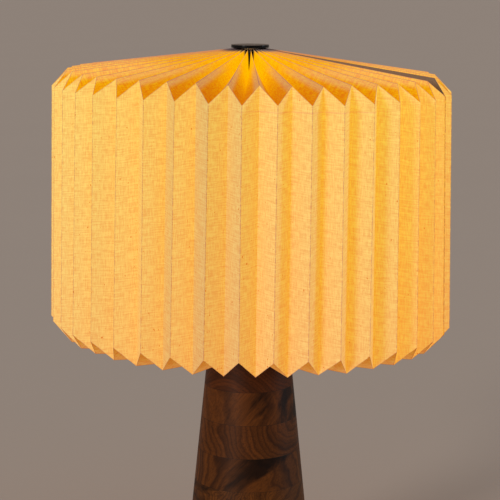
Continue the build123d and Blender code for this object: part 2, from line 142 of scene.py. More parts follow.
def stretched(tree, vector, scale, place=(0.0, 0.0, 0.0), turn=(0.0, 0.0, 0.0)):
    """A vector moved, turned and scaled before a texture reads it."""
    return put(tree, "ShaderNodeMapping", vector, place, turn, scale).outputs[0]


def cloudy(tree, vector, scale, detail=3.0, rough=0.55, distortion=0.0):
    """Fractal noise from 0 to 1, without a direction of its own."""
    made = tree.nodes.new("ShaderNodeTexNoise")
    tree.links.new(vector, made.inputs["Vector"])
    made.inputs["Scale"].default_value = scale
    made.inputs["Detail"].default_value = detail
    made.inputs["Roughness"].default_value = rough
    made.inputs["Distortion"].default_value = distortion
    return made.outputs["Fac"]


def colour(red, green, blue):
    """A colour for a socket, in linear light."""
    return (red, green, blue, 1.0)


print("surface helpers: mixed, soft_step, stretched, cloudy, colour")

# %% [markdown]
# Some effects belong to more than one material. Such an effect is built once, as a node group with named
# sockets, and each material uses the group with its own values. A group gives only colours, masks and
# heights. The shader itself stays in the material.

# %% A helper for shared groups
def group(name, inputs, outputs):
    """An empty node group with named sockets, and its two end nodes."""
    made = bpy.data.node_groups.new(name, "ShaderNodeTree")
    for label, kind, value in inputs:
        socket = made.interface.new_socket(label, in_out="INPUT", socket_type=kind)
        if value is not None:
            socket.default_value = value
    for label, kind in outputs:
        made.interface.new_socket(label, in_out="OUTPUT", socket_type=kind)
    return made, made.nodes.new("NodeGroupInput"), made.nodes.new("NodeGroupOutput")


NUMBER, VECTOR, COLOUR = "NodeSocketFloat", "NodeSocketVector", "NodeSocketColor"

print("socket kinds:", NUMBER, VECTOR, COLOUR)

# %% [markdown]
# ## The linen face of the paper
# The shade's paper has linen cloth laminated on its face. Seen close, linen is an uneven weave: every
# thread swells and thins along its length, a few thick threads (slubs) run far in both directions, and
# small brown flecks of stalk are left in it. The group reads the sheet's own flat coordinates in
# millimetres, so the weave follows the paper round every fold. The card behind the joint wears the same
# cloth, so it is a shared group.

# %% Build the linen weave group
THREAD_DRIFT = 1.6
WARP_STRETCH = (1.20, 0.15, 1.0)
WEFT_STRETCH = (0.09, 1.15, 1.0)
FLECK_STRETCH = (0.50, 0.34, 1.0)

linen_weave, given, result = group(
    "linen weave",
    [("Sheet", VECTOR, None), ("Thread Width", NUMBER, 0.62), ("Unevenness", NUMBER, 0.5)],
    [("Height", NUMBER), ("Slubs", NUMBER), ("Streaks", NUMBER), ("Flecks", NUMBER)],
)
weave = linen_weave
flat = given.outputs["Sheet"]
drift = sums(weave, "MULTIPLY", cloudy(weave, flat, 0.11, 2.0), THREAD_DRIFT)
threads = []
for along in ("X", "Y"):
    count = sums(weave, "DIVIDE", parts(weave, flat)[along], given.outputs["Thread Width"])
    wave = sums(weave, "SINE", sums(weave, "MULTIPLY", sums(weave, "ADD", count, drift), 2.0 * math.pi))
    threads.append(sums(weave, "MULTIPLY_ADD", wave, 0.5, 0.5))
body = sums(weave, "MAXIMUM", threads[0], threads[1])

warp_streak = cloudy(weave, stretched(weave, flat, WARP_STRETCH), 1.0, 4.0, 0.70)
weft_streak = cloudy(weave, stretched(weave, flat, WEFT_STRETCH, (31.0, 7.0, 0.0)), 1.0, 4.0, 0.70)
streaks = sums(weave, "MULTIPLY", sums(weave, "ADD", warp_streak, weft_streak), 0.5)
warp_slub = soft_step(weave, warp_streak, 0.62, 0.74)
weft_slub = soft_step(weave, weft_streak, 0.62, 0.72)
slubs = sums(weave, "MAXIMUM", warp_slub, weft_slub)
fleck = cloudy(weave, stretched(weave, flat, FLECK_STRETCH, (5.0, 3.0, 0.0)), 1.0, 1.0)
flecks = soft_step(weave, fleck, 0.735, 0.775)
uneven = sums(weave, "MULTIPLY", streaks, given.outputs["Unevenness"])
height = sums(weave, "ADD", sums(weave, "ADD", sums(weave, "MULTIPLY", body, 0.35), uneven), slubs)
for label, value in (("Height", height), ("Slubs", slubs), ("Streaks", streaks), ("Flecks", flecks)):
    weave.links.new(value, result.inputs[label])
print("linen weave:", len(weave.nodes), "nodes")

# %% [markdown]
# ## Starting a material
# A new material comes with one Principled shader, and everything else is linked into that. A texture also
# needs a place to read. `own_place` gives the piece's own place, which stays with it when a joint moves.
# The paper reads numbers that are stored on its mesh instead. Relief that is too fine to model, such as
# threads and pores, is a Bump node: it tilts the light without moving the surface.

# %% Helpers for a material
def new_material(name):
    """A material with its tree and its principled shader."""
    made = bpy.data.materials.new(name)
    made.use_nodes = True
    return made, made.node_tree, made.node_tree.nodes["Principled BSDF"]


def own_place(tree):
    """A point's place on the piece, which stays with it when it moves."""
    return put(tree, "ShaderNodeTexCoord").outputs["Object"]


def read(tree, name, output="Fac"):
    """A number, or with output Vector a place, that is stored on a mesh."""
    return put(tree, "ShaderNodeAttribute", attribute_name=name, attribute_type="GEOMETRY").outputs[output]


def use_group(tree, shared, place, **values):
    """Puts a shared group in a tree, with a place for its first input and values for the others."""
    made = tree.nodes.new("ShaderNodeGroup")
    made.node_tree = shared
    tree.links.new(place, made.inputs[0])
    for label, value in values.items():
        made.inputs[label.replace("_", " ")].default_value = value
    return made


def emboss(tree, shader, height, strength, distance):
    """Fine relief from a height that changes over the surface."""
    bump = put(tree, "ShaderNodeBump", strength, distance)
    tree.links.new(height, bump.inputs["Height"])
    tree.links.new(bump.outputs["Normal"], shader.inputs["Normal"])


print("material helpers: new_material, own_place, read, use_group, emboss")

# %% [markdown]
# ## The lit paper
# The paper glows because the bulb behind it shines through. Light that has passed through paper and linen
# is deep amber, and it is most saturated down in the hollows between pleats, where no pale room light
# reaches to thin it. Tracing the light through thousands of folded layers is slow and noisy, so the glow
# is written as an emission that varies with the place on the sheet, over a darker linen colour that
# answers to the room light.
#
# On the wall the hollow lies along the valley fold. On the roof and the underside it lies along the ridge
# fold, and the outward fold is the other one. The sheet's mesh stores how far across its page a point is,
# so one difference finds the hollow everywhere.

# %% Read the place on the sheet
linen_paper, paper, skin = new_material("linen_paper")
flat_place = read(paper, "sheet", "Vector")
cloth = use_group(paper, linen_weave, flat_place, Unevenness=0.6)

fold = read(paper, "fold")
closed = read(paper, "closed")
underneath = read(paper, "underneath")
reach = read(paper, "reach")
drop = read(paper, "drop")
tone = read(paper, "tone")
opaque = read(paper, "opaque")

from_outward = sums(paper, "ABSOLUTE", sums(paper, "SUBTRACT", closed, fold))
hollow = soft_step(paper, from_outward, 0.15, 0.95)
print("linen_paper, places:", len(paper.nodes), "nodes")

# %% [markdown]
# The wall glows a warm yellow that dulls towards the foot. Round the drum the glow isn't even: the pages at
# both sides are painted yellower, and the last ones at the right more orange, as painted light. The side is
# found from the piece's own place, so these differences turn with the shade as printed ones would.

# %% Write the glow of the wall
wall_top = mixed(paper, hollow, colour(0.77, 0.396, 0.012), colour(0.80, 0.375, 0.002))
wall_foot = mixed(paper, hollow, colour(0.73, 0.306, 0.012), colour(0.75, 0.288, 0.002))
wall_glow = mixed(paper, drop, wall_top, wall_foot)
sideways = sums(paper, "DIVIDE", parts(paper, own_place(paper))["X"], reach)
at_sides = soft_step(paper, sums(paper, "ABSOLUTE", sideways), 0.15, 0.94)
at_right = soft_step(paper, sideways, 0.60, 0.92)
wall_glow = mixed(paper, at_sides, wall_glow, colour(1.03, 1.13, 1.0), "MULTIPLY")
wall_glow = mixed(paper, at_right, wall_glow, colour(1.07, 0.92, 0.1), "MULTIPLY")
print("linen_paper, wall:", len(paper.nodes), "nodes")

# %% [markdown]
# On the roof the glow is brightest round the hub, right over the bulb, and sinks towards the rim. The
# inner part of each page there, the leaf, is the most saturated, and the outer part is browner. Near the
# hub the pages crowd so much that only leaf shows. The underside is dimmer than either.

# %% Write the glow of the roof and the underside
toward_hub = soft_step(paper, reach, 0.146, 0.040)
near_hub = soft_step(paper, reach, 0.100, 0.055)
in_leaf = sums(paper, "MAXIMUM", soft_step(paper, from_outward, 0.14, 0.44), near_hub)
leaf = mixed(paper, toward_hub, colour(0.66, 0.178, 0.0), colour(1.04, 0.480, 0.0))
outer = mixed(paper, toward_hub, colour(0.54, 0.205, 0.014), colour(0.82, 0.335, 0.0))
roof_glow = mixed(paper, in_leaf, outer, leaf)
# At the sides the roof takes a yellower glow too: painted light, fixed to the sheet's sides.
side_glow = mixed(paper, hollow, colour(0.85, 0.370, 0.002), colour(0.88, 0.345, 0.0))
roof_glow = mixed(paper, at_sides, roof_glow, side_glow)
under_glow = mixed(paper, hollow, colour(0.60, 0.230, 0.035), colour(0.56, 0.190, 0.020))
glow = mixed(paper, closed, wall_glow, mixed(paper, underneath, roof_glow, under_glow))
print("linen_paper, glow:", len(paper.nodes), "nodes")

# %% [markdown]
# One thread of the weft is much thicker than the rest. It crosses the front pages a little below the
# upper rim, falls slightly to the right, and runs out at both ends. It is a line on the flat sheet, so it
# is found by its level there, in millimetres.

# %% Lay one thick thread across the front
FRONT_ALONG = 1032.6
WEFT_FALL = -0.0194
WALL_LENGTH = 198.6
WEFT_LEVEL = 17.0
WEFT_STARTS = (-8.0, 12.0)
WEFT_ENDS = (175.0, 120.0)

from_front = sums(paper, "SUBTRACT", parts(paper, flat_place)["X"], FRONT_ALONG)
level = sums(paper, "MULTIPLY_ADD", from_front, WEFT_FALL, sums(paper, "MULTIPLY", drop, WALL_LENGTH))
off_weft = sums(paper, "ABSOLUTE", sums(paper, "SUBTRACT", level, WEFT_LEVEL))
weft_start = soft_step(paper, from_front, *WEFT_STARTS)
weft_end = soft_step(paper, from_front, *WEFT_ENDS)
thick_weft = soft_step(paper, off_weft, 0.20, 0.62, 1.0, 0.0)
thick_weft = sums(paper, "MULTIPLY", thick_weft, sums(paper, "MULTIPLY", weft_start, weft_end))
print("thick thread:", WEFT_LEVEL, "mm below the rim")

# %% [markdown]
# Whatever thickens the paper swallows green before red: a thread, a slub or a fleck turns the glow
# browner, not greyer. So everything is first counted as one number, the share of light that passes, and
# that number is raised to a different power for red and for blue. The roof was creased by hand where its
# pleats close, so it has slanting wrinkles too, and its cloth shows more strongly towards the rim.

# %% Darken the glow by thread, slub, fleck and wrinkle
def dimmed(tree, mask, depth):
    """The share of light that is left where a mask takes a depth of it away."""
    return sums(tree, "MULTIPLY_ADD", mask, -depth, 1.0)


WRINKLE_STRETCH = (0.9, 0.10, 1.0)
WRINKLE_TURN = (0.0, 0.0, 0.65)
RED_POWER, BLUE_POWER = 0.16, 1.3

wrinkle = cloudy(paper, stretched(paper, flat_place, WRINKLE_STRETCH, turn=WRINKLE_TURN), 1.0, 3.0, 0.6)
wrinkle = sums(paper, "MULTIPLY", soft_step(paper, wrinkle, 0.60, 0.68), closed)
passed = soft_step(paper, cloth.outputs["Streaks"], 0.39, 0.61, 1.20, 0.76)
for mask, depth in (
    (cloth.outputs["Slubs"], 0.16),
    (cloth.outputs["Flecks"], 0.55),
    (thick_weft, 0.26),
    (wrinkle, 0.16),
):
    passed = sums(paper, "MULTIPLY", passed, dimmed(paper, mask, depth))

toward_rim = sums(paper, "MULTIPLY", closed, sums(paper, "SUBTRACT", 1.0, toward_hub))
passed = sums(paper, "POWER", passed, sums(paper, "MULTIPLY_ADD", toward_rim, 0.7, 1.0))
passed_red = sums(paper, "POWER", passed, RED_POWER)
passed_blue = sums(paper, "POWER", passed, BLUE_POWER)
cloth_tint = put(paper, "ShaderNodeCombineColor", passed_red, passed, passed_blue).outputs[0]
shine = mixed(paper, 1.0, glow, cloth_tint, "MULTIPLY")
print("linen_paper, cloth:", len(paper.nodes), "nodes")

# %% [markdown]
# The folds are pressed and cracked, so they scatter light back and show as thin mauve lines. On the wall
# a line comes and goes along its fold, because a crease wears unevenly. On the roof and the underside it
# runs through, and it is browner. The same line follows the two rims.

# %% Draw the cracked folds
PAGE_MM = 16.1
WEAR_STRETCH = (0.06, 0.30, 1.0)

to_crease = sums(paper, "MINIMUM", sums(paper, "MULTIPLY", from_outward, PAGE_MM), read(paper, "rim_mm"))
fold_line = soft_step(paper, to_crease, 0.14, 0.62, 1.0, 0.0)
wear = cloudy(paper, stretched(paper, flat_place, WEAR_STRETCH), 1.0, 3.0)
worn = sums(paper, "MAXIMUM", soft_step(paper, wear, 0.36, 0.60, 0.30, 1.0), closed)
fold_line = sums(paper, "MULTIPLY", fold_line, worn)
crease_tint = mixed(paper, closed, colour(0.60, 0.46, 0.48), colour(0.50, 0.36, 0.30))
shine = mixed(paper, fold_line, shine, crease_tint, "MULTIPLY")
print("linen_paper, folds:", len(paper.nodes), "nodes")

# %% [markdown]
# Behind the collar no light comes up, so the glow stops short of the hub, and a little further out in the
# hollows and at the sides. The page over the card stays dark. Every page has a tone of its own as well,
# because no two are bulged or backed alike, and three pages near the front are set duller as painted shade.
# The tones belong to the wall, and the roof takes next to nothing of them.

# %% Darken the hub, the card's page and whole pages
SHADOW_OUTWARD = 0.0125
SHADOW_HOLLOW = 0.0165
SHADOW_AT_SIDES = 0.0045
SHADOW_FADE = 0.008
PLAIN_PAGE = 0.965
TONE_ON_WALL = 0.07
TONE_LOST_ON_ROOF = -0.058

shadow_end = soft_step(paper, hollow, 0.0, 1.0, SHADOW_OUTWARD, SHADOW_HOLLOW)
shadow_end = sums(paper, "MULTIPLY_ADD", at_sides, SHADOW_AT_SIDES, shadow_end)
past_hub = soft_step(paper, sums(paper, "SUBTRACT", reach, shadow_end), 0.0, SHADOW_FADE)
tone_share = sums(paper, "MULTIPLY_ADD", closed, TONE_LOST_ON_ROOF, TONE_ON_WALL)
page_shade = sums(paper, "MULTIPLY_ADD", tone, tone_share, PLAIN_PAGE)
lit = sums(paper, "MULTIPLY", past_hub, dimmed(paper, opaque, 0.97))
lit = sums(paper, "MULTIPLY", lit, page_shade)
grey = put(paper, "ShaderNodeCombineColor", lit, lit, lit).outputs[0]
shine = mixed(paper, 1.0, shine, grey, "MULTIPLY")
print("linen_paper, emission:", len(paper.nodes), "nodes")

# %% [markdown]
# Room light falls on the linen's own colour. The wall is pale cloth. The roof's linen is painted darker, as
# shade, because its paper is seen nearly edge on between closed pleats, and its hollows are painted amber,
# as shade where little room light reaches.
# The page with the card behind it is a plain brown.

# %% Colour the linen itself
thread_mask = soft_step(paper, cloth.outputs["Streaks"], 0.38, 0.62)
pale_linen = mixed(paper, thread_mask, colour(0.245, 0.255, 0.235), colour(0.195, 0.200, 0.145))
# The roof's darker linen and its amber leaf are painted shade.
shaded_roof_linen = mixed(paper, in_leaf, colour(0.18, 0.135, 0.105), colour(0.10, 0.050, 0.002))
backed_pale, backed_brown = colour(0.26, 0.175, 0.125), colour(0.13, 0.085, 0.060)
backed_linen = mixed(paper, cloth.outputs["Streaks"], backed_pale, backed_brown)
linen = mixed(paper, sums(paper, "MULTIPLY", closed, past_hub), pale_linen, shaded_roof_linen)
linen = mixed(paper, fold_line, linen, colour(0.22, 0.155, 0.165))
linen = mixed(paper, cloth.outputs["Flecks"], linen, colour(0.12, 0.06, 0.03))
linen = mixed(paper, opaque, linen, backed_linen)
paper.links.new(linen, skin.inputs["Base Color"])
paper.links.new(shine, skin.inputs["Emission Color"])
skin.inputs["Emission Strength"].default_value = 1.0
rough = soft_step(paper, cloth.outputs["Height"], 0.0, 1.4, 0.92, 0.72)
paper.links.new(rough, skin.inputs["Roughness"])
skin.inputs["Specular IOR Level"].default_value = 0.06
emboss(paper, skin, cloth.outputs["Height"], 0.35, 0.00018)
linen_paper.cycles.emission_sampling = "NONE"
print("linen_paper:", len(paper.nodes), "nodes")

# %% [markdown]
# ## The pleated sheet
# The shade is one strip of 81 pages. A page is the paper between a ridge fold and the valley fold beside
# it, and its width never changes. Where the folds close in towards the axis, the pages have to stand up
# deeper instead: that is what turns a flat strip into a roof. So the code places only the folds, as lines
# from the hub over the two rims to the lower collar, and lays each page between two of them. A simulation
# would have to find this shape from a flat strip. The folds' places are known exactly, so they are
# written down.

# %% Where the folds run
PLEATS = 40
PAGES = 2 * PLEATS
RIDGE_RADIUS = 0.150
VALLEY_RADIUS = 0.1385
RIM_RISE = 0.0125
HALF_PLEAT = 180.0 / PLEATS
FRONT_RIDGE = -2.3
JOINT_RIDGE = 8
PAPER = 0.00045

roof_box, wall_box, under_box = (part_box(node) for node in ("shade_roof", "shade_wall", "shade_underside"))
shade_top, shade_foot = roof_box[1].z, under_box[0].z
valley_top, valley_bottom = wall_box[1].z, wall_box[0].z
ridge_top, ridge_bottom = valley_top - RIM_RISE, valley_bottom + RIM_RISE
HUB_RADIUS = 0.00958
FOOT_RADIUS = 0.03198

half_turn = math.radians(HALF_PLEAT)
step_out = RIDGE_RADIUS - VALLEY_RADIUS * math.cos(half_turn)
step_round = VALLEY_RADIUS * math.sin(half_turn)
page_width = math.hypot(step_out, step_round)


def fold_depth(radius):
    """How deep the closed pleats stand at a radius."""
    return math.sqrt(page_width**2 - (2.0 * radius * math.sin(half_turn / 2.0)) ** 2)


def spot(radius, azimuth, height):
    """A point by its distance from the axis, its azimuth from the front towards +X, and its height."""
    turn = math.radians(azimuth)
    return Vector((radius * math.sin(turn), -radius * math.cos(turn), height))


print("page width", round(page_width * 1000, 3), "mm")

# %% [markdown]
# Real folds are made by hand and steam, so no two are alike. Each fold gets its own small error in
# azimuth, radius and height, and the whole drum is twisted, leans and flares a little, as the one in the
# photograph is. Its upper rim is also a little narrower, and both rims stand slightly to the right. The
# lower valley corners sag by half a millimetre, and the front ridge's upper end has slipped to the left.
# All errors fade out at the two collars, because the paper is clamped there. The random numbers have a
# fixed seed, so the lamp comes out the same each time.

# %% Give every fold its own small errors
RADIUS_ERROR = 0.00022
AZIMUTH_ERROR = 0.10
HEIGHT_ERROR = 0.00030
TWIST = -0.87
FLARE = 0.010
LEAN = -0.0178
UPPER_SQUEEZE = 0.992
UPPER_SHIFT = 0.0015
LOWER_SHIFT = 0.0014
VALLEY_SAG = 0.0006
FRONT_FOLD = 64
FRONT_SLIP = -0.45

hands = random.Random(40)


def fold_corners(index):
    """A fold's corners at the hub, the two rims and the lower collar. Even folds are ridges."""
    azimuth = FRONT_RIDGE + HALF_PLEAT * (2 * JOINT_RIDGE + index)
    ridge = index % 2 == 0
    error = [hands.gauss(0.0, 1.0) for _ in range(6)]
    rim_radius = RIDGE_RADIUS if ridge else VALLEY_RADIUS
    slip = FRONT_SLIP if index == FRONT_FOLD else 0.0
    upper = spot(
        rim_radius + RADIUS_ERROR * error[0],
        azimuth + AZIMUTH_ERROR * error[1] + slip,
        (ridge_top if ridge else valley_top) + HEIGHT_ERROR * error[2],
    )
    lower = spot(
        (rim_radius + RADIUS_ERROR * error[3]) * (1.0 + FLARE),
        azimuth + TWIST + AZIMUTH_ERROR * error[4],
        (ridge_bottom if ridge else valley_bottom) + HEIGHT_ERROR * error[5],
    )
    upper.z += LEAN * upper.x
    lower.z += LEAN * lower.x - (0.0 if ridge else VALLEY_SAG)
    upper.x = UPPER_SQUEEZE * upper.x + UPPER_SHIFT
    lower.x += LOWER_SHIFT
    hub = spot(HUB_RADIUS, azimuth, shade_top - (fold_depth(HUB_RADIUS) if ridge else 0.0))
    foot = spot(FOOT_RADIUS, azimuth + TWIST, shade_foot + (fold_depth(FOOT_RADIUS) if ridge else 0.0))
    return hub, upper, lower, foot


folds = [fold_corners(index) for index in range(PAGES)]
folds += folds[:2]
print("folds:", len(folds))

# %% [markdown]
# A page between two folds is a ruled surface. Paper held along its folds still gives a little in between,
# so a page is bulged outwards by a fraction of a millimetre that differs from page to page. The rows of
# points are closer together near the hub, where the page turns upright fastest.

# %% Lay a page between two folds
ROOF, WALL, UNDERSIDE = 0, 1, 2
ROOF_ROWS, WALL_ROWS, UNDER_ROWS = 20, 14, 16
ACROSS = 6
BULGE = 0.00022
BULGE_VARIES = 0.00030


def row_places():
    """The rows of points down the sheet, as (stretch, share of that stretch)."""
    rows = [(ROOF, (step / ROOF_ROWS) ** 1.25) for step in range(ROOF_ROWS)]
    rows += [(WALL, step / WALL_ROWS) for step in range(WALL_ROWS)]
    rows += [(UNDERSIDE, 1.0 - (1.0 - step / UNDER_ROWS) ** 1.2) for step in range(UNDER_ROWS + 1)]
    return rows


def page_point(page, across, stretch, share, depth=0.0):
    """A point of a page's outer face, or of a layer at a depth behind it."""
    first, second = folds[page], folds[page + 1]
    near_a, far_a = first[stretch], first[stretch + 1]
    near_b, far_b = second[stretch], second[stretch + 1]
    left, right = near_a.lerp(far_a, share), near_b.lerp(far_b, share)
    down = (far_a - near_a).lerp(far_b - near_b, across)
    outward = down.cross(right - left).normalized()
    bulge = 4.0 * across * (1.0 - across) * math.sin(math.pi * min(max(share, 0.0), 1.0))
    swell = BULGE + BULGE_VARIES * math.sin(2.4 * page + 1.1 * stretch)
    return left.lerp(right, across) + outward * (bulge * swell - depth)


rows = row_places()
print("rows down the sheet:", len(rows))

# %% [markdown]
# A point also has a place on the sheet as it lay flat, before it was folded. Across, that is the page's
# number and the share across it. Down, it is the length along the folds on both sides of the page,
# because paper doesn't stretch.

# %% Measure down the flat sheet
def fold_length(index, stretch):
    """The length of a fold's stretch, in metres."""
    corners = folds[index]
    return (corners[stretch + 1] - corners[stretch]).length


def down_length(page, across, stretch, share):
    """How far down the flat sheet a point lies, in metres."""
    sides = []
    for index in (page, page + 1):
        lengths = [fold_length(index, part) for part in range(3)]
        sides.append(sum(lengths[:stretch]) + lengths[stretch] * share)
    return sides[0] + (sides[1] - sides[0]) * across


print("down the first page:", round(down_length(0, 0.5, UNDERSIDE, 1.0), 4), "m")

# %% [markdown]
# The mesh is a grid: columns across the pages and rows down them. Each point also stores what the paper's
# material asks for: its place on the flat sheet in millimetres, how far across its page it is, its
# distance from the axis, how far down the wall it is and how near to a rim. Stored numbers follow the
# paper when the shade turns or lifts, which a place in space would not.

# %% Place the strip's points
MM = 1000.0


def strip_points(columns, rows, depth_at):
    """A strip's points, column by column, and what each of them stores."""
    points, sheet = [], []
    stored = {"fold": [], "reach": [], "drop": [], "rim_mm": []}
    for page, across in columns:
        for stretch, share in rows:
            point = page_point(page, across, stretch, share, depth_at(page, stretch, share))
            down = down_length(page, across, stretch, share)
            rims = [down_length(page, across, part, 0.0) for part in (WALL, UNDERSIDE)]
            below = (valley_top - point.z) / (valley_top - valley_bottom)
            points.append(point)
            sheet += ((page + across) * page_width * MM, down * MM, 0.0)
            stored["fold"].append(across if page % 2 == 0 else 1.0 - across)
            stored["reach"].append(math.hypot(point.x, point.y))
            stored["drop"].append(min(max(below, 0.0), 1.0))
            stored["rim_mm"].append(min(abs(down - rim) for rim in rims) * MM)
    return points, sheet, stored


print("stored at each point: sheet, fold, reach, drop, rim_mm")

# %% [markdown]
# Faces join each point to the next row and the next column. A face knows which page and which stretch it
# belongs to, so what changes sharply at a fold, such as roof against wall, is stored on the faces and not
# on the points.

# %% Join the points to a strip
def strip_faces(columns, rows):
    """A strip's faces, with the page, the share across it and the stretch that each one belongs to."""
    tall = len(rows)
    faces, page_of, share_of, stretch_of = [], [], [], []
    for column in range(len(columns) - 1):
        for row in range(tall - 1):
            first, beside = column * tall + row, (column + 1) * tall + row
            faces.append((first, first + 1, beside + 1, beside))
            page_of.append(columns[column][0])
            share_of.append(columns[column][1])
            stretch_of.append(rows[row][0])
    return faces, page_of, share_of, stretch_of


def store(mesh, name, kind, domain, values):
    """Stores one value for each point or face of a mesh."""
    made = mesh.attributes.new(name, kind, domain)
    made.data.foreach_set("vector" if kind == "FLOAT_VECTOR" else "value", values)


def pleated_strip(name, columns, rows, depth_at, extras):
    """A strip of paper over pages. Columns are (page, share across it)."""
    points, sheet, stored = strip_points(columns, rows, depth_at)
    faces, page_of, share_of, stretch_of = strip_faces(columns, rows)
    mesh = bpy.data.meshes.new(name)
    mesh.from_pydata(points, [], faces)
    for label, values in stored.items():
        store(mesh, label, "FLOAT", "POINT", values)
    store(mesh, "sheet", "FLOAT_VECTOR", "POINT", sheet)
    store(mesh, "closed", "FLOAT", "FACE", [float(stretch != WALL) for stretch in stretch_of])
    store(mesh, "underneath", "FLOAT", "FACE", [float(stretch == UNDERSIDE) for stretch in stretch_of])
    for label, values in extras(page_of, share_of).items():
        store(mesh, label, "FLOAT", "FACE", values)
    made = bpy.data.objects.new(name, mesh)
    bpy.context.scene.collection.objects.link(made)
    return made


print("stored on each face: closed, underneath, tone, opaque")

# %% [markdown]
# The sheet starts and ends at the glued joint. Its last page lies under its first with the card between
# them, so that page alone is set back, by most of a millimetre. Every page gets a tone at random. Then a
# few pages near the front are set one by one: three duller ones and two brighter ones stand out in the
# photograph.

# %% Build the sheet as one open strip
LAP_DEPTH = 0.00085
# Three pages near the front are darkened as painted shade.
SHADED_PAGES = {59: -1.6, 61: -2.3, 63: -1.3}
BRIGHTER = {60: 1.0, 75: 1.2}
BACKED_FROM = 0.1


def lap_depth(page, stretch, share):
    """The sheet's last page lies under its first, with the card between them."""
    if page < PAGES:
        return 0.0
    closing = {ROOF: share, WALL: 1.0, UNDERSIDE: 1.0 - share}[stretch]
    return LAP_DEPTH * min(1.0, 0.25 + 1.5 * closing)


def is_backed(page, share):
    """1 on the joint's two pages, where the card keeps the light back."""
    return float(page in (0, PAGES) and share > BACKED_FROM)


def page_tones(page_of, share_of):
    """Each page's own tone, and which faces have the card behind them."""
    shades = [hands.uniform(0.0, 1.0) for _ in range(PAGES + 1)]
    for page, shade in {**SHADED_PAGES, **BRIGHTER}.items():
        shades[page] = shade
    return {
        "tone": [shades[page] for page in page_of],
        "opaque": [is_backed(page, share) for page, share in zip(page_of, share_of)],
    }


sheet_columns = [(page, step / ACROSS) for page in range(PAGES) for step in range(ACROSS)]
sheet_columns += [(PAGES, step / ACROSS) for step in range(ACROSS + 1)]
linen_sheet = pleated_strip("linen_sheet", sheet_columns, rows, lap_depth, page_tones)
print("linen_sheet:", len(linen_sheet.data.polygons), "faces")

# %% [markdown]
# Shading across a crease must break, while a page itself shades smoothly. Marking the edges along the
# folds as sharp does both. Then the Solidify modifier gives the sheet its thickness on the inner side
# only, so the outer face stays where it was placed. The modifier is applied at once, because its mesh is
# what the lamp keeps. A weight on the points can thin the paper where it is pressed together.

# %% Helpers that crease a strip and thicken it
ON_RIM_MM = 1e-4
THINNEST = 0.35


def mark_folds(mesh):
    """Sharp edges along the folds and the rims, and smooth pages between them."""
    share = [value.value for value in mesh.attributes["fold"].data]
    to_rim = [value.value for value in mesh.attributes["rim_mm"].data]
    sharp = []
    for a, b in (edge.vertices for edge in mesh.edges):
        on_fold = share[a] == share[b] and share[a] in (0.0, 1.0)
        on_rim = max(to_rim[a], to_rim[b]) < ON_RIM_MM
        sharp.append(on_fold or on_rim)
    mesh.attributes.new("sharp_edge", "BOOLEAN", "EDGE").data.foreach_set("value", sharp)
    mesh.polygons.foreach_set("use_smooth", [True] * len(mesh.polygons))


def crease_and_thicken(piece, thickness, thin_at):
    """Sharp folds, smooth pages, and a thickness inwards that is less where thin_at says."""
    mark_folds(piece.data)
    full = piece.vertex_groups.new(name="full_thickness")
    for vertex in piece.data.vertices:
        full.add([vertex.index], thin_at(math.hypot(vertex.co.x, vertex.co.y)), "REPLACE")
    solid = piece.modifiers.new("paper_thickness", "SOLIDIFY")
    solid.thickness = thickness
    solid.offset = -1.0
    solid.vertex_group = full.name
    solid.thickness_vertex_group = THINNEST
    shown = bpy.context.evaluated_depsgraph_get()
    piece.data = bpy.data.meshes.new_from_object(piece.evaluated_get(shown))
    piece.modifiers.clear()
    piece.data.name = piece.name


print("edges nearer to a rim than", ON_RIM_MM, "mm are sharp")

# %% [markdown]
# Near the hub eighty pages crowd round a finger-wide hole, so the sheet is thinned there, as pressing
# does. The finished sheet stands in for CAD's three parts of it and rides on the shade. Its flat size is
# the strip as it lay before folding: 81 pages wide, and as long as the way from the hub over both rims to
# the lower collar.

# %% Finish the sheet and hand it over
CROWDED_TO = 0.008
CROWDED_OVER = 0.030


def crowding(radius):
    """1 where the pages stand free, less where they crowd at the hub."""
    return min(1.0, max(0.0, (radius - CROWDED_TO) / CROWDED_OVER))


crease_and_thicken(linen_sheet, PAPER, crowding)
linen_sheet.data.materials.append(linen_paper)
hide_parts("shade_roof", "shade_wall", "shade_underside")
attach(linen_sheet, "shade")

print("linen_sheet, solid:", len(linen_sheet.data.polygons), "faces")

# %% [markdown]
# ## The card behind the joint
# Where the strip's two ends meet they are glued page on page, and a stiff card between them keeps that
# page flat. No light comes through the card: it shows as the one dark page on the shade. It follows the
# same page surface, a paper's thickness behind it, and stops short of the hub and the collar.

# %% Build the card between the two ends
CARD = 0.0004
CARD_MARGIN = 0.08
CARD_SHARE = 0.66


def card_depth(page, stretch, share):
    """The card lies right behind the first page."""
    return PAPER


def card_tones(page_of, share_of):
    """The card is opaque all over."""
    return {"opaque": [1.0] * len(page_of)}


card_columns = [(0, CARD_MARGIN + (1.0 - 2.0 * CARD_MARGIN) * step / 4.0) for step in range(5)]
card_rows = [(ROOF, 1.0 - CARD_SHARE * (1.0 - step / 10.0)) for step in range(10)]
card_rows += [(stretch, share) for stretch, share in rows if stretch == WALL]
card_rows += [(UNDERSIDE, CARD_SHARE * step / 10.0) for step in range(11)]
seam_card = pleated_strip("seam_card", card_columns, card_rows, card_depth, card_tones)
crease_and_thicken(seam_card, CARD, lambda radius: 1.0)
print("seam_card:", len(seam_card.data.polygons), "faces")

# %% [markdown]
# The card is faced with the same cloth as the paper, only finer and duller, so it takes the shared linen
# group with other values. That is what a group is for: one recipe, and each user's own numbers.

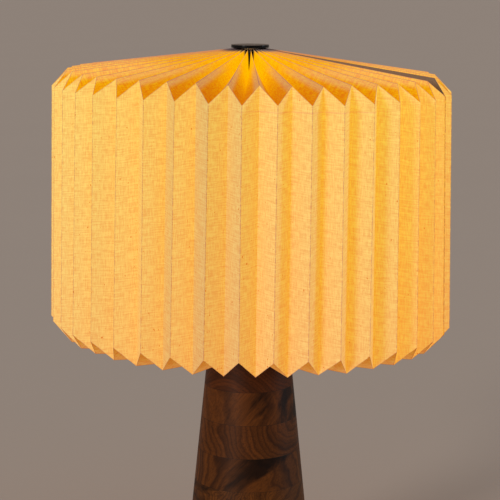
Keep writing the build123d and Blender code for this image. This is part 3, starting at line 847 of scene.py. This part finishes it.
# %% Finish the card
card_board, board_tree, board_skin = new_material("card_board")
board_place = read(board_tree, "sheet", "Vector")
fibres = use_group(board_tree, linen_weave, board_place, Thread_Width=0.35, Unevenness=0.9)
board_pale, board_brown = colour(0.30, 0.22, 0.15), colour(0.21, 0.15, 0.10)
board_colour = mixed(board_tree, fibres.outputs["Streaks"], board_pale, board_brown)
board_tree.links.new(board_colour, board_skin.inputs["Base Color"])
board_skin.inputs["Roughness"].default_value = 0.88
emboss(board_tree, board_skin, fibres.outputs["Height"], 0.3, 0.0001)
seam_card.data.materials.append(card_board)
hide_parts("seam_strip")
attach(seam_card, "shade")
print("card_board:", len(board_tree.nodes), "nodes")

# %% [markdown]
# ## Walnut, sawn and turned
# The base is eight flat walnut boards glued face to face, then turned to a taper. A board is a slice of a
# trunk, so its figure is made in the round: rings round a pith line that runs level beside the board.
# Where the turned surface runs along the grain the rings show as long stripes and arches, and where it
# cuts across, as end grain. One group does this for all eight, and each board gives its own grain
# direction, distance from the pith, ring width and depth of colour. A thin dark line closes each glue
# joint.

# %% Open the walnut grain group
walnut_grain, given, result = group(
    "walnut grain",
    [
        ("Place", VECTOR, None),
        ("Board Middle", VECTOR, (0.0, 0.0, 0.0)),
        ("Grain Azimuth", NUMBER, 0.0),
        ("Grain Rise", NUMBER, 0.0),
        ("Log", VECTOR, (0.0, 0.0, 0.0)),
        ("Pith Aside", NUMBER, 0.03),
        ("Pith Height", NUMBER, 0.0),
        ("Ring Width", NUMBER, 0.0045),
        ("Ring Contrast", NUMBER, 0.5),
        ("Waver", NUMBER, 0.5),
        ("Golden", NUMBER, 0.5),
        ("Heartwood", NUMBER, 0.3),
        ("Heartwood Side", VECTOR, (0.0, 0.0, 0.0)),
        ("Heartwood Band", NUMBER, 0.0),
        ("Half Board", NUMBER, 0.0125),
    ],
    [("Colour", COLOUR), ("Roughness", NUMBER), ("Height", NUMBER)],
)
wood = walnut_grain
in_board = vectors(wood, "SUBTRACT", given.outputs["Place"], given.outputs["Board Middle"])
along_grain = in_board
for axis, angle in (("Z_AXIS", "Grain Azimuth"), ("Y_AXIS", "Grain Rise")):
    turn = put(wood, "ShaderNodeVectorRotate", along_grain, rotation_type=axis)
    wood.links.new(given.outputs[angle], turn.inputs["Angle"])
    along_grain = turn.outputs[0]
in_log = vectors(wood, "ADD", along_grain, given.outputs["Log"])
print("walnut grain, inputs:", len(given.outputs) - 1)

# %% [markdown]
# The rings are the distance from the pith line, counted in ring widths and pushed about by a slow noise,
# since no tree grows round. A sine turns the count into light early wood and dark late wood. Fibres and
# pores are noise drawn out many times along the grain: the pores are the fine dark dashes that tell
# walnut from a smoother wood.

# %% Grow the rings, the fibres and the pores
WAVER_STRETCH = (11.0, 42.0, 42.0)
FIBRE_STRETCH = (45.0, 900.0, 900.0)
PORE_STRETCH = (90.0, 1700.0, 1700.0)
WAVER_REACH = 0.022

waver = sums(wood, "SUBTRACT", cloudy(wood, stretched(wood, in_log, WAVER_STRETCH), 1.0, 3.0, 0.5), 0.5)
waver = sums(wood, "MULTIPLY", waver, sums(wood, "MULTIPLY", given.outputs["Waver"], WAVER_REACH))
aside, up = parts(wood, along_grain)["Y"], parts(wood, along_grain)["Z"]
across_pith = sums(wood, "SUBTRACT", aside, given.outputs["Pith Aside"])
over_pith = sums(wood, "SUBTRACT", up, given.outputs["Pith Height"])
squares = sums(wood, "MULTIPLY_ADD", over_pith, over_pith, sums(wood, "MULTIPLY", across_pith, across_pith))
from_pith = sums(wood, "ADD", sums(wood, "SQRT", squares), waver)
turns = sums(wood, "MULTIPLY", sums(wood, "DIVIDE", from_pith, given.outputs["Ring Width"]), 2.0 * math.pi)
ring = sums(wood, "MULTIPLY_ADD", sums(wood, "SINE", turns), 0.5, 0.5)
late_wood = sums(wood, "POWER", ring, 2.5)
log_number = parts(wood, given.outputs["Log"])["X"]
years = put(wood, "ShaderNodeCombineXYZ", from_pith, log_number, None).outputs[0]
band = cloudy(wood, years, 120.0, 3.0, 0.6)
fibre = cloudy(wood, stretched(wood, in_log, FIBRE_STRETCH), 1.0, 3.0, 0.65)
pores = soft_step(wood, cloudy(wood, stretched(wood, in_log, PORE_STRETCH), 1.0, 2.0), 0.58, 0.70)
print("walnut grain, figure:", len(wood.nodes), "nodes")

# %% [markdown]
# Walnut's heartwood is nearly black in places, and glued blocks show it as patches and bands. A patch is
# slow noise along the grain. A board's own side lets the patches gather towards one end or edge, and its
# band keeps them near the middle of its grain.

# %% Let the dark heartwood gather
PATCH_STRETCH = (14.0, 60.0, 75.0)

leaning = vectors(wood, "DOT_PRODUCT", in_board, given.outputs["Heartwood Side"])
patch = cloudy(wood, stretched(wood, in_log, PATCH_STRETCH, (0.7, 0.2, 0.4)), 1.0, 4.0, 0.6, 0.4)
patch = sums(wood, "ADD", sums(wood, "ADD", patch, leaning), given.outputs["Heartwood"])
off_band = sums(wood, "MULTIPLY", sums(wood, "MULTIPLY", up, up), given.outputs["Heartwood Band"])
heart = soft_step(wood, sums(wood, "SUBTRACT", patch, off_band), 0.80, 1.06)
print("walnut grain, heartwood:", len(wood.nodes), "nodes")

# %% [markdown]
# The colours go on in the order in which the eye sorts them: the board's own brown between reddish and
# golden, then darker years, fibres and late wood, then pores and heartwood. Last comes the thin dark line
# of glue at the board's two faces. Pores and glue lines are also a little sunk and a little rougher.

# %% Colour the walnut
REDDISH = colour(0.070, 0.0175, 0.0035)
GOLDEN = colour(0.150, 0.050, 0.0080)
UMBER = colour(0.019, 0.0060, 0.0020)
NEAR_BLACK = colour(0.0035, 0.0018, 0.0012)
tint = mixed(wood, given.outputs["Golden"], REDDISH, GOLDEN)
tint = mixed(wood, soft_step(wood, band, 0.36, 0.70, 0.0, 0.75), tint, UMBER)
tint = mixed(wood, soft_step(wood, fibre, 0.42, 0.72, 0.0, 0.45), tint, UMBER)
tint = mixed(wood, sums(wood, "MULTIPLY", late_wood, given.outputs["Ring Contrast"]), tint, UMBER)
tint = mixed(wood, sums(wood, "MULTIPLY", pores, 0.35), tint, NEAR_BLACK)
tint = mixed(wood, sums(wood, "MULTIPLY", heart, 0.88), tint, NEAR_BLACK)
from_middle = sums(wood, "ABSOLUTE", parts(wood, in_board)["Z"])
to_joint = sums(wood, "SUBTRACT", given.outputs["Half Board"], from_middle)
joint_line = soft_step(wood, to_joint, 0.00002, 0.00022, 1.0, 0.0)
tint = mixed(wood, sums(wood, "MULTIPLY", joint_line, 0.7), tint, colour(0.010, 0.006, 0.004))
wood.links.new(tint, result.inputs["Colour"])
rubbed = cloudy(wood, given.outputs["Place"], 55.0, 3.0)
gloss = sums(wood, "MULTIPLY_ADD", pores, 0.10, soft_step(wood, rubbed, 0.3, 0.7, 0.44, 0.54))
wood.links.new(gloss, result.inputs["Roughness"])
relief = sums(wood, "MULTIPLY_ADD", pores, -0.5, sums(wood, "MULTIPLY", joint_line, -1.0))
wood.links.new(sums(wood, "MULTIPLY_ADD", late_wood, 0.2, relief), result.inputs["Height"])
print("walnut grain:", len(wood.nodes), "nodes")

# %% [markdown]
# The boards are listed from the foot up. A grain azimuth of 0 runs the grain from side to side as seen
# from the front, and 90 runs it towards the eye, which shows end grain. A rise tilts the grain up to the
# right. The pith is given by how far aside of the axis and how far over the board's middle it lies. Dark
# heartwood gathers on a board's own side. The upper boards follow the photograph: arches on the top one,
# then a plain board that turns black at the right, end grain with its rings round the right edge, a
# slanting figure under a black band, and a mottled board.

# %% List the eight boards
# Grain azimuth, rise, pith aside, pith over, ring width, ring contrast, waver, golden, heartwood, its side.
BOARDS = [
    (25.0, 4.0, 0.020, -0.060, 0.0055, 0.45, 0.5, 0.35, 0.34, (0.0, 0.0, 0.0)),
    (88.0, 0.0, -0.060, 0.030, 0.0042, 0.55, 0.6, 0.55, 0.22, (-3.0, 0.0, 0.0)),
    (-12.0, 6.0, 0.010, -0.030, 0.0065, 0.40, 0.6, 0.30, 0.36, (2.0, 0.0, 0.0)),
    (70.0, 0.0, 0.090, -0.030, 0.0016, 0.50, 1.2, 0.70, 0.28, (-2.0, 0.0, 0.0)),
    (4.0, 42.0, 0.110, 0.030, 0.0065, 0.60, 1.3, 0.50, 0.60, (2.0, 0.0, 7.0)),
    (90.0, 0.0, 0.036, 0.014, 0.0040, 0.50, 0.7, 0.45, 0.16, (-2.5, 0.0, 0.0)),
    (-6.0, 48.0, 0.120, -0.050, 0.0100, 0.30, 1.0, 0.55, 0.30, (7.0, 0.0, 0.0)),
    (34.0, 0.0, 0.020, 0.034, 0.0026, 0.40, 0.5, 0.15, 0.16, (-1.0, 0.0, 0.0)),
]
# How tightly a board's heartwood keeps to a band along its grain.
BANDS = {5: 2000.0}
print("boards listed:", len(BOARDS))

# %% [markdown]
# Both the walnut group and the groups further down give a colour, a roughness and a height. So one
# helper, `surfaced`, makes a material over any of them, and the next one, `dress`, gives a material to a
# CAD node.

# %% Helpers that make a finish and give it out
def surfaced(name, shared, bump_strength, bump_distance, **values):
    """A material over a shared group that gives colour, roughness and height."""
    made, tree, shader = new_material(name)
    marks = use_group(tree, shared, own_place(tree), **values)
    tree.links.new(marks.outputs["Colour"], shader.inputs["Base Color"])
    tree.links.new(marks.outputs["Roughness"], shader.inputs["Roughness"])
    emboss(tree, shader, marks.outputs["Height"], bump_strength, bump_distance)
    return made, shader


def dress(node, material):
    """Gives a CAD node its finish."""
    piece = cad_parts[node]
    if not piece.material_slots:
        piece.data.materials.append(material)
    for slot in piece.material_slots:
        slot.material = material


print("finishing helpers: surfaced, dress")

# %% [markdown]
# Each board is the shared grain with the board's own row of values. It also needs its own middle height,
# because the grain is turned about it, and half its thickness, so that the glue lines fall on its two
# faces. The number of the board moves it to another part of the log, and no two boards are alike.

# %% Finish the eight boards
def walnut_board(number, turn, rise, aside, over, width, contrast, waver, golden, heartwood, side):
    """One board's material, from the shared grain and its own values."""
    low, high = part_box("walnut_board_%d" % number)
    board, shader = surfaced(
        "walnut_%d" % number,
        walnut_grain,
        0.20,
        0.00015,
        Board_Middle=(0.0, 0.0, (low.z + high.z) / 2.0),
        Grain_Azimuth=math.radians(turn),
        Grain_Rise=math.radians(rise),
        Log=(0.7 * number, 0.0, 0.0),
        Pith_Aside=aside,
        Pith_Height=over,
        Ring_Width=width,
        Ring_Contrast=contrast,
        Waver=waver,
        Golden=golden,
        Heartwood=heartwood,
        Heartwood_Side=side,
        Heartwood_Band=BANDS.get(number, 0.0),
        Half_Board=(high.z - low.z) / 2.0,
    )
    shader.inputs["Specular IOR Level"].default_value = 0.10
    return board


for number, values in enumerate(BOARDS, start=1):
    dress("walnut_board_%d" % number, walnut_board(number, *values))
print("boards finished:", len(BOARDS))

# %% [markdown]
# ## Metal
# Small hardware is turned, pressed or drawn, and each leaves fine marks: turning leaves rings, drawing
# leaves lines along the wire. A shared group gives both the marks and the duller, slightly stained places
# that handling leaves. Each metal sets its own colour, roughness and direction of marks.

# %% Build the worked metal group
worked_metal, given, result = group(
    "worked metal",
    [
        ("Place", VECTOR, None),
        ("Bright", COLOUR, colour(0.7, 0.7, 0.7)),
        ("Stained", COLOUR, colour(0.4, 0.4, 0.4)),
        ("Smoothest", NUMBER, 0.2),
        ("Roughest", NUMBER, 0.4),
        ("Line Scale", VECTOR, (60.0, 60.0, 2500.0)),
    ],
    [("Colour", COLOUR), ("Roughness", NUMBER), ("Height", NUMBER)],
)
metal = worked_metal
scaled = vectors(metal, "MULTIPLY", given.outputs["Place"], given.outputs["Line Scale"])
lines = cloudy(metal, scaled, 1.0, 3.0, 0.6)
stained = soft_step(metal, cloudy(metal, given.outputs["Place"], 90.0, 4.0, 0.6), 0.45, 0.72)
metal_colour = mixed(metal, stained, given.outputs["Bright"], given.outputs["Stained"])
metal.links.new(metal_colour, result.inputs["Colour"])
span = sums(metal, "SUBTRACT", given.outputs["Roughest"], given.outputs["Smoothest"])
share = sums(metal, "MULTIPLY_ADD", lines, 0.6, sums(metal, "MULTIPLY", stained, 0.5), clamp=True)
metal_rough = sums(metal, "MULTIPLY_ADD", share, span, given.outputs["Smoothest"])
metal.links.new(metal_rough, result.inputs["Roughness"])
metal.links.new(lines, result.inputs["Height"])
print("worked metal:", len(metal.nodes), "nodes")

# %% [markdown]
# Five metals are in the lamp: brass for the wire loop and the screw shell, zinc-plated steel for the
# threaded parts, raw steel plate for the weight, the thin metal of the bulb's cap, and the solder of its
# contact. A table holds what sets them apart. All of them are fully metallic.

# %% Make the metals
RINGS = (60.0, 60.0, 2500.0)
PLATE = (900.0, 900.0, 900.0)
# Bright colour, stained colour, smoothest, roughest, marks, bump strength, bump distance.
METALS = {
    "drawn_brass": ((0.72, 0.50, 0.22), (0.42, 0.26, 0.10), 0.22, 0.50, RINGS, 0.15, 0.00004),
    "zinc_plate": ((0.62, 0.61, 0.57), (0.40, 0.39, 0.36), 0.25, 0.48, RINGS, 0.15, 0.00004),
    "raw_steel_plate": ((0.34, 0.34, 0.35), (0.17, 0.14, 0.12), 0.35, 0.62, PLATE, 0.20, 0.00006),
    "rolled_cap_metal": ((0.74, 0.73, 0.70), (0.50, 0.49, 0.46), 0.20, 0.42, RINGS, 0.12, 0.00004),
    "solder": ((0.52, 0.52, 0.53), (0.30, 0.30, 0.31), 0.30, 0.55, PLATE, 0.30, 0.00010),
}

finishes = {}
for name, (bright, stain, smoothest, roughest, marks, strength, distance) in METALS.items():
    finishes[name], shader = surfaced(
        name,
        worked_metal,
        strength,
        distance,
        Bright=colour(*bright),
        Stained=colour(*stain),
        Smoothest=smoothest,
        Roughest=roughest,
        Line_Scale=marks,
    )
    shader.inputs["Metallic"].default_value = 1.0
print("metals:", list(finishes))

# %% [markdown]
# ## Plastic, porcelain, rubber and lacquer
# These have no metal in them, but all of them were once soft. They were moulded, fired or sprayed, and
# that leaves a faint orange-peel skin. Where hands and dust have been, the skin is a little paler or
# duller. A second shared group gives both.

# %% Build the moulded skin group
moulded_skin, given, result = group(
    "moulded skin",
    [
        ("Place", VECTOR, None),
        ("Fresh", COLOUR, colour(0.8, 0.8, 0.8)),
        ("Worn", COLOUR, colour(0.7, 0.7, 0.7)),
        ("Grain", NUMBER, 900.0),
        ("Smoothest", NUMBER, 0.25),
        ("Roughest", NUMBER, 0.45),
    ],
    [("Colour", COLOUR), ("Roughness", NUMBER), ("Height", NUMBER)],
)
moulded = moulded_skin
worn = soft_step(moulded, cloudy(moulded, given.outputs["Place"], 70.0, 3.0), 0.42, 0.68)
skin_colour = mixed(moulded, worn, given.outputs["Fresh"], given.outputs["Worn"])
moulded.links.new(skin_colour, result.inputs["Colour"])
grains = put(moulded, "ShaderNodeVectorMath", given.outputs["Place"], operation="SCALE")
moulded.links.new(given.outputs["Grain"], grains.inputs["Scale"])
peel = cloudy(moulded, grains.outputs[0], 1.0, 2.0)
moulded.links.new(peel, result.inputs["Height"])
span = sums(moulded, "SUBTRACT", given.outputs["Roughest"], given.outputs["Smoothest"])
level = sums(moulded, "MULTIPLY_ADD", peel, 0.4, sums(moulded, "MULTIPLY", worn, 0.5), clamp=True)
skin_rough = sums(moulded, "MULTIPLY_ADD", level, span, given.outputs["Smoothest"])
moulded.links.new(skin_rough, result.inputs["Roughness"])
print("moulded skin:", len(moulded.nodes), "nodes")

# %% [markdown]
# The lacquer is on the hub plate and the collars. The lampholder is black moulded plastic round a
# porcelain insert, the bulb's neck is white plastic, and the cord's bush is rubber. Lacquer and porcelain
# have a clear coat over their colour, so they alone get a coat.

# %% Make the moulded finishes
# Fresh colour, worn colour, grain, smoothest, roughest, bump strength, bump distance.
MOULDED = {
    "black_lacquer": ((0.010, 0.010, 0.011), (0.020, 0.019, 0.018), 1500.0, 0.16, 0.34, 0.10, 0.00003),
    "black_phenolic": ((0.014, 0.013, 0.013), (0.026, 0.024, 0.022), 1100.0, 0.30, 0.50, 0.15, 0.00004),
    "porcelain": ((0.80, 0.78, 0.72), (0.70, 0.66, 0.58), 400.0, 0.10, 0.22, 0.10, 0.00004),
    "white_bulb_neck": ((0.78, 0.76, 0.71), (0.70, 0.67, 0.60), 1300.0, 0.35, 0.50, 0.10, 0.00003),
    "rubber": ((0.016, 0.016, 0.016), (0.034, 0.032, 0.030), 1600.0, 0.70, 0.92, 0.25, 0.00005),
}
# Coat weight, coat roughness.
COATS = {"black_lacquer": (0.6, 0.12), "porcelain": (0.5, 0.03)}

for name, (fresh, rubbed, grain, smoothest, roughest, strength, distance) in MOULDED.items():
    finishes[name], shader = surfaced(
        name,
        moulded_skin,
        strength,
        distance,
        Fresh=colour(*fresh),
        Worn=colour(*rubbed),
        Grain=grain,
        Smoothest=smoothest,
        Roughest=roughest,
    )
    if name in COATS:
        shader.inputs["Coat Weight"].default_value = COATS[name][0]
        shader.inputs["Coat Roughness"].default_value = COATS[name][1]
print("finishes so far:", len(finishes))

# %% [markdown]
# Most hard pieces keep CAD's shape and only need their finish. They are listed by finish, as a workshop
# would sort them into boxes. The bulb's cap and the stud get their threads further down, and their CAD
# stand-ins are dressed here as well.

# %% Give out the hard finishes
FINISHED_IN = {
    "drawn_brass": ("harp_saddle", "harp_loop", "harp_block", "screw_shell", "centre_contact", "hub_bush"),
    "zinc_plate": ("weight_screws", "lamp_tube", "tube_nuts", "tube_washer", "hub_stud", "finial_washer"),
    "raw_steel_plate": ("base_weight",),
    "rolled_cap_metal": ("bulb_cap",),
    "solder": ("bulb_contact",),
    "black_lacquer": ("hub_plate", "upper_collar", "lower_collar"),
    "black_phenolic": ("holder_cap", "holder_skirt"),
    "porcelain": ("holder_insert",),
    "white_bulb_neck": ("bulb_neck",),
    "rubber": ("cord_bush",),
}
for name, nodes in FINISHED_IN.items():
    for node in nodes:
        dress(node, finishes[name])
print("hard finishes given out to", sum(len(nodes) for nodes in FINISHED_IN.values()), "nodes")

# %% [markdown]
# ## Screw threads
# CAD holds the bulb's cap and the stud under the disc as plain cylinders. Both show their threads once
# they are unscrewed. The cap is rolled from thin sheet, so its thread is a round wave. The stud is cut
# with a die, so its thread is a V. A thread's groove is written as a depth from 0 at the crest to 1 at
# the root, over one turn.

# %% Outlines and grooves for turned pieces
def radius_at(outline, height):
    """The radius of a turned outline, given as (height, radius) from the bottom up."""
    for (low, near), (high, far) in zip(outline, outline[1:]):
        if height <= high:
            return near + (far - near) * (height - low) / (high - low)
    return outline[-1][1]


def rolled(phase):
    """A rolled thread's groove: a round wave."""
    return 0.5 - 0.5 * math.cos(2.0 * math.pi * phase)


def die_cut(phase):
    """A cut thread's groove: a V with a small flat at the crest and the root."""
    return min(max(1.25 * (1.0 - abs(2.0 * phase - 1.0)) - 0.125, 0.0), 1.0)


print("groove at half a turn:", rolled(0.5), "rolled,", die_cut(0.5), "cut")

# %% [markdown]
# A threaded piece is one grid of points round the axis. Its radius changes with the turn and the height
# together, and that makes the helix. The crests keep the cylinder's radius, so the fit stays as CAD has
# it. The groove runs out over the last turn at both ends, as a real one does, and two flat faces close
# the piece.

# %% A helper that turns a threaded piece
RUN_ROUND = 48
SHARP_ANGLE = 50.0


def threaded(name, outline, pitch, depth, groove, steps, around=RUN_ROUND):
    """A turned piece with a right-hand thread that runs out at both ends."""
    bottom, top = outline[0][0], outline[-1][0]
    rows = round((top - bottom) / pitch * steps)
    points, faces = [], []
    for row in range(rows + 1):
        height = bottom + (top - bottom) * row / rows
        full = min(1.0, (height - bottom) / pitch, (top - height) / pitch)
        for side in range(around):
            cut = depth * full * groove((height / pitch - side / around) % 1.0)
            points.append(spot(radius_at(outline, height) - cut, 360.0 * side / around, height))
    for row in range(rows):
        for side in range(around):
            beside = (side + 1) % around
            under, over = row * around, (row + 1) * around
            faces.append((under + side, under + beside, over + beside, over + side))
    faces.append([around - 1 - side for side in range(around)])
    faces.append([rows * around + side for side in range(around)])
    mesh = bpy.data.meshes.new(name)
    mesh.from_pydata(points, [], faces)
    mesh.polygons.foreach_set("use_smooth", [True] * len(mesh.polygons))
    mesh.set_sharp_from_angle(angle=math.radians(SHARP_ANGLE))
    made = bpy.data.objects.new(name, mesh)
    bpy.context.scene.collection.objects.link(made)
    return made


print("points round a thread:", RUN_ROUND)

# %% [markdown]
# The cap is wide where its thread is and narrows below it to the contact, so its outline has three
# heights. The stud is a plain rod with a small chamfer at its top, which helps the disc to start on it.

# %% Cut the two threads
CAP_FOOT_RADIUS = 0.0043
CAP_NARROWS_OVER = 0.0065
CAP_PITCH, CAP_GROOVE = 0.00362, 0.00085
STUD_CHAMFER = 0.0006
STUD_PITCH, STUD_GROOVE = 0.0010, 0.00055

low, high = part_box("bulb_cap")
cap_outline = [(low.z, CAP_FOOT_RADIUS), (low.z + CAP_NARROWS_OVER, high.x), (high.z, high.x)]
threaded_cap = threaded("threaded_cap", cap_outline, CAP_PITCH, CAP_GROOVE, rolled, 12)
threaded_cap.data.materials.append(finishes["rolled_cap_metal"])
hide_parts("bulb_cap")
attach(threaded_cap, "bulb")

low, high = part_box("hub_stud")
stud_outline = [(low.z, high.x), (high.z - STUD_CHAMFER, high.x), (high.z, high.x - STUD_CHAMFER)]
threaded_stud = threaded("threaded_stud", stud_outline, STUD_PITCH, STUD_GROOVE, die_cut, 8, 32)
threaded_stud.data.materials.append(finishes["zinc_plate"])
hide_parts("hub_stud")
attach(threaded_stud, "base")
print("threads:", len(threaded_cap.data.polygons), "and", len(threaded_stud.data.polygons), "faces")

# %% [markdown]
# ## The disc
# The disc on top is the one piece of black lacquer that is always seen. Its flat face is satin from being
# wiped, and holds a little dust, and its taupe colour there is a painted reflection of the room. Its thin
# edge is still glossy and black. The two are told apart by which way the surface points, and so no seam has
# to be drawn between them.

# %% Finish the disc
disc_lacquer, disc_tree, disc_skin = new_material("disc_lacquer")
facing = put(disc_tree, "ShaderNodeTexCoord").outputs["Normal"]
on_top = soft_step(disc_tree, parts(disc_tree, facing)["Z"], 0.80, 0.98)
disc_dust = cloudy(disc_tree, own_place(disc_tree), 420.0, 4.0, 0.65)
dust_on_top = sums(disc_tree, "MULTIPLY", soft_step(disc_tree, disc_dust, 0.50, 0.75), on_top)
# The flat face's taupe is a painted reflection; the edge keeps the lacquer's black.
disc_paint_and_reflection = mixed(disc_tree, on_top, colour(0.002, 0.002, 0.0025), colour(0.135, 0.098, 0.072))
disc_paint_and_reflection = mixed(disc_tree, dust_on_top, disc_paint_and_reflection, colour(0.17, 0.130, 0.100))
disc_tree.links.new(disc_paint_and_reflection, disc_skin.inputs["Base Color"])
disc_rough = soft_step(disc_tree, on_top, 0.0, 1.0, 0.20, 0.46)
disc_tree.links.new(disc_rough, disc_skin.inputs["Roughness"])
emboss(disc_tree, disc_skin, disc_dust, 0.08, 0.00003)
disc_skin.inputs["Specular IOR Level"].default_value = 0.12
disc_skin.inputs["Coat Weight"].default_value = 0.16
disc_skin.inputs["Coat Roughness"].default_value = 0.12
dress("finial_disc", disc_lacquer)
print("disc_lacquer:", len(disc_tree.nodes), "nodes")

# %% [markdown]
# ## The felt
# Felt is pressed fibre with a short nap. Its fibres are far too fine to model under a lamp, so the nap is
# fine noise in the relief, with a sheen on top for the fibres that stand up. Slower noise gives the
# places where it is matted.

# %% Finish the felt
black_felt, felt_tree, felt_skin = new_material("black_felt")
nap = cloudy(felt_tree, own_place(felt_tree), 1400.0, 5.0, 0.7)
matted = soft_step(felt_tree, cloudy(felt_tree, own_place(felt_tree), 120.0, 3.0), 0.5, 0.75, 0.0, 0.5)
felt_colour = mixed(felt_tree, nap, colour(0.010, 0.010, 0.011), colour(0.045, 0.044, 0.043))
felt_colour = mixed(felt_tree, matted, felt_colour, colour(0.06, 0.057, 0.053))
felt_tree.links.new(felt_colour, felt_skin.inputs["Base Color"])
felt_skin.inputs["Roughness"].default_value = 0.97
felt_skin.inputs["Sheen Weight"].default_value = 0.5
emboss(felt_tree, felt_skin, nap, 0.6, 0.0003)
dress("felt_pad", black_felt)
print("black_felt:", len(felt_tree.nodes), "nodes")

# %% [markdown]
# ## The bulb's globe
# The frosted globe is the light behind the paper, so it glows, warmer near its neck than at its crown. It
# isn't used as a lamp for the scene: the paper carries its own glow, and the globe is only seen when the
# shade is lifted off.

# %% Finish the globe
frosted_globe, globe_tree, globe_skin = new_material("frosted_globe")
frost = cloudy(globe_tree, own_place(globe_tree), 1600.0, 3.0)
low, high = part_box("bulb_globe")
toward_crown = soft_step(globe_tree, parts(globe_tree, own_place(globe_tree))["Z"], low.z, high.z)
globe_white = mixed(globe_tree, frost, colour(0.86, 0.83, 0.76), colour(0.92, 0.90, 0.85))
globe_glow = mixed(globe_tree, toward_crown, colour(1.0, 0.66, 0.32), colour(1.0, 0.78, 0.48))
globe_rough = soft_step(globe_tree, frost, 0.3, 0.7, 0.40, 0.60)
globe_tree.links.new(globe_white, globe_skin.inputs["Base Color"])
globe_tree.links.new(globe_glow, globe_skin.inputs["Emission Color"])
globe_tree.links.new(globe_rough, globe_skin.inputs["Roughness"])
globe_skin.inputs["Emission Strength"].default_value = 1.6
emboss(globe_tree, globe_skin, frost, 0.2, 0.00004)
frosted_globe.cycles.emission_sampling = "NONE"
dress("bulb_globe", frosted_globe)
print("frosted_globe:", len(globe_tree.nodes), "nodes")

# %% [markdown]
# ## The floor
# The lamp stands on a plain pale floor that runs on far past the picture's edges. It lies a hair under
# the felt, and a faint mottle keeps it from looking like paper.

# %% Lay the floor
FLOOR_RADIUS = 40.0
FLOOR_DROP = 0.0002
FLOOR_COLOUR = (0.422, 0.348, 0.302)
MOTTLE = (0.985, 1.015)

floor_mesh = bpy.data.meshes.new("floor")
rim = bmesh.new()
bmesh.ops.create_circle(rim, cap_ends=True, cap_tris=True, segments=96, radius=FLOOR_RADIUS)
rim.to_mesh(floor_mesh)
rim.free()
floor = bpy.data.objects.new("floor", floor_mesh)
floor.location.z = -FLOOR_DROP
bpy.context.scene.collection.objects.link(floor)

floor_paint, floor_tree, floor_skin = new_material("floor_paint")
mottle = cloudy(floor_tree, own_place(floor_tree), 3.0, 5.0, 0.6)
darker, lighter = (colour(*(share * part for part in FLOOR_COLOUR)) for share in MOTTLE)
floor_tree.links.new(mixed(floor_tree, mottle, darker, lighter), floor_skin.inputs["Base Color"])
floor_skin.inputs["Roughness"].default_value = 0.9
floor_skin.inputs["Specular IOR Level"].default_value = 0.1
floor_mesh.materials.append(floor_paint)
print("floor radius", FLOOR_RADIUS, "m")

# %% [markdown]
# ## The windows
# Two soft, low lights stand for windows. The one at the front left whitens the left-facing pages over
# their whole width. The cooler one from the right only grazes the pleats, so it reaches a strip along
# each outward fold and leaves the hollows to the lamp's own glow.

# %% Light the room from two windows
def soft_sun(name, comes_from, strength, spread, tint):
    """A distant light with a soft edge."""
    lamp = bpy.data.lights.new(name, "SUN")
    lamp.energy = strength
    lamp.angle = math.radians(spread)
    lamp.color = tint
    made = bpy.data.objects.new(name, lamp)
    made.rotation_mode = "QUATERNION"
    made.rotation_quaternion = Vector(comes_from).to_track_quat("Z", "Y")
    bpy.context.scene.collection.objects.link(made)
    return made


def from_side(azimuth, elevation):
    """A direction by its azimuth from the front towards +X, and its elevation."""
    return spot(math.cos(math.radians(elevation)), azimuth, math.sin(math.radians(elevation)))


window = soft_sun("window", from_side(-38.0, 14.0), 1.65, 16.0, (1.0, 0.95, 0.88))
far_window = soft_sun("far_window", from_side(92.0, 13.0), 1.15, 9.0, (0.72, 0.88, 1.0))

print("lights:", window.name, far_window.name)

# %% [markdown]
# The world gives an even fill from everywhere else. Rays that go straight from the camera past the
# floor's end, or that a glossy surface sends there, see the floor's own shade, so no horizon shows. The
# Standard view keeps the colours as they are mixed here.

# %% Fill the room
FILL = colour(1.0, 0.97, 0.94)
FILL_STRENGTH = 0.45
BEYOND_THE_FLOOR = colour(0.270, 0.220, 0.191)

room = bpy.data.worlds.new("room")
bpy.context.scene.world = room
room.use_nodes = True
sky = room.node_tree
fill = sky.nodes["Background"]
fill.inputs["Color"].default_value = FILL
fill.inputs["Strength"].default_value = FILL_STRENGTH
seen = sky.nodes.new("ShaderNodeBackground")
seen.inputs["Color"].default_value = BEYOND_THE_FLOOR
rays = sky.nodes.new("ShaderNodeLightPath")
direct = sums(sky, "MAXIMUM", rays.outputs["Is Camera Ray"], rays.outputs["Is Glossy Ray"])
direct = sums(sky, "MAXIMUM", direct, rays.outputs["Is Transmission Ray"])
blend_in = put(sky, "ShaderNodeMixShader", direct, fill.outputs[0], seen.outputs[0])
sky.links.new(blend_in.outputs[0], sky.nodes["World Output"].inputs["Surface"])
bpy.context.scene.view_settings.view_transform = "Standard"
print("world:", room.name, "- fill", FILL_STRENGTH)
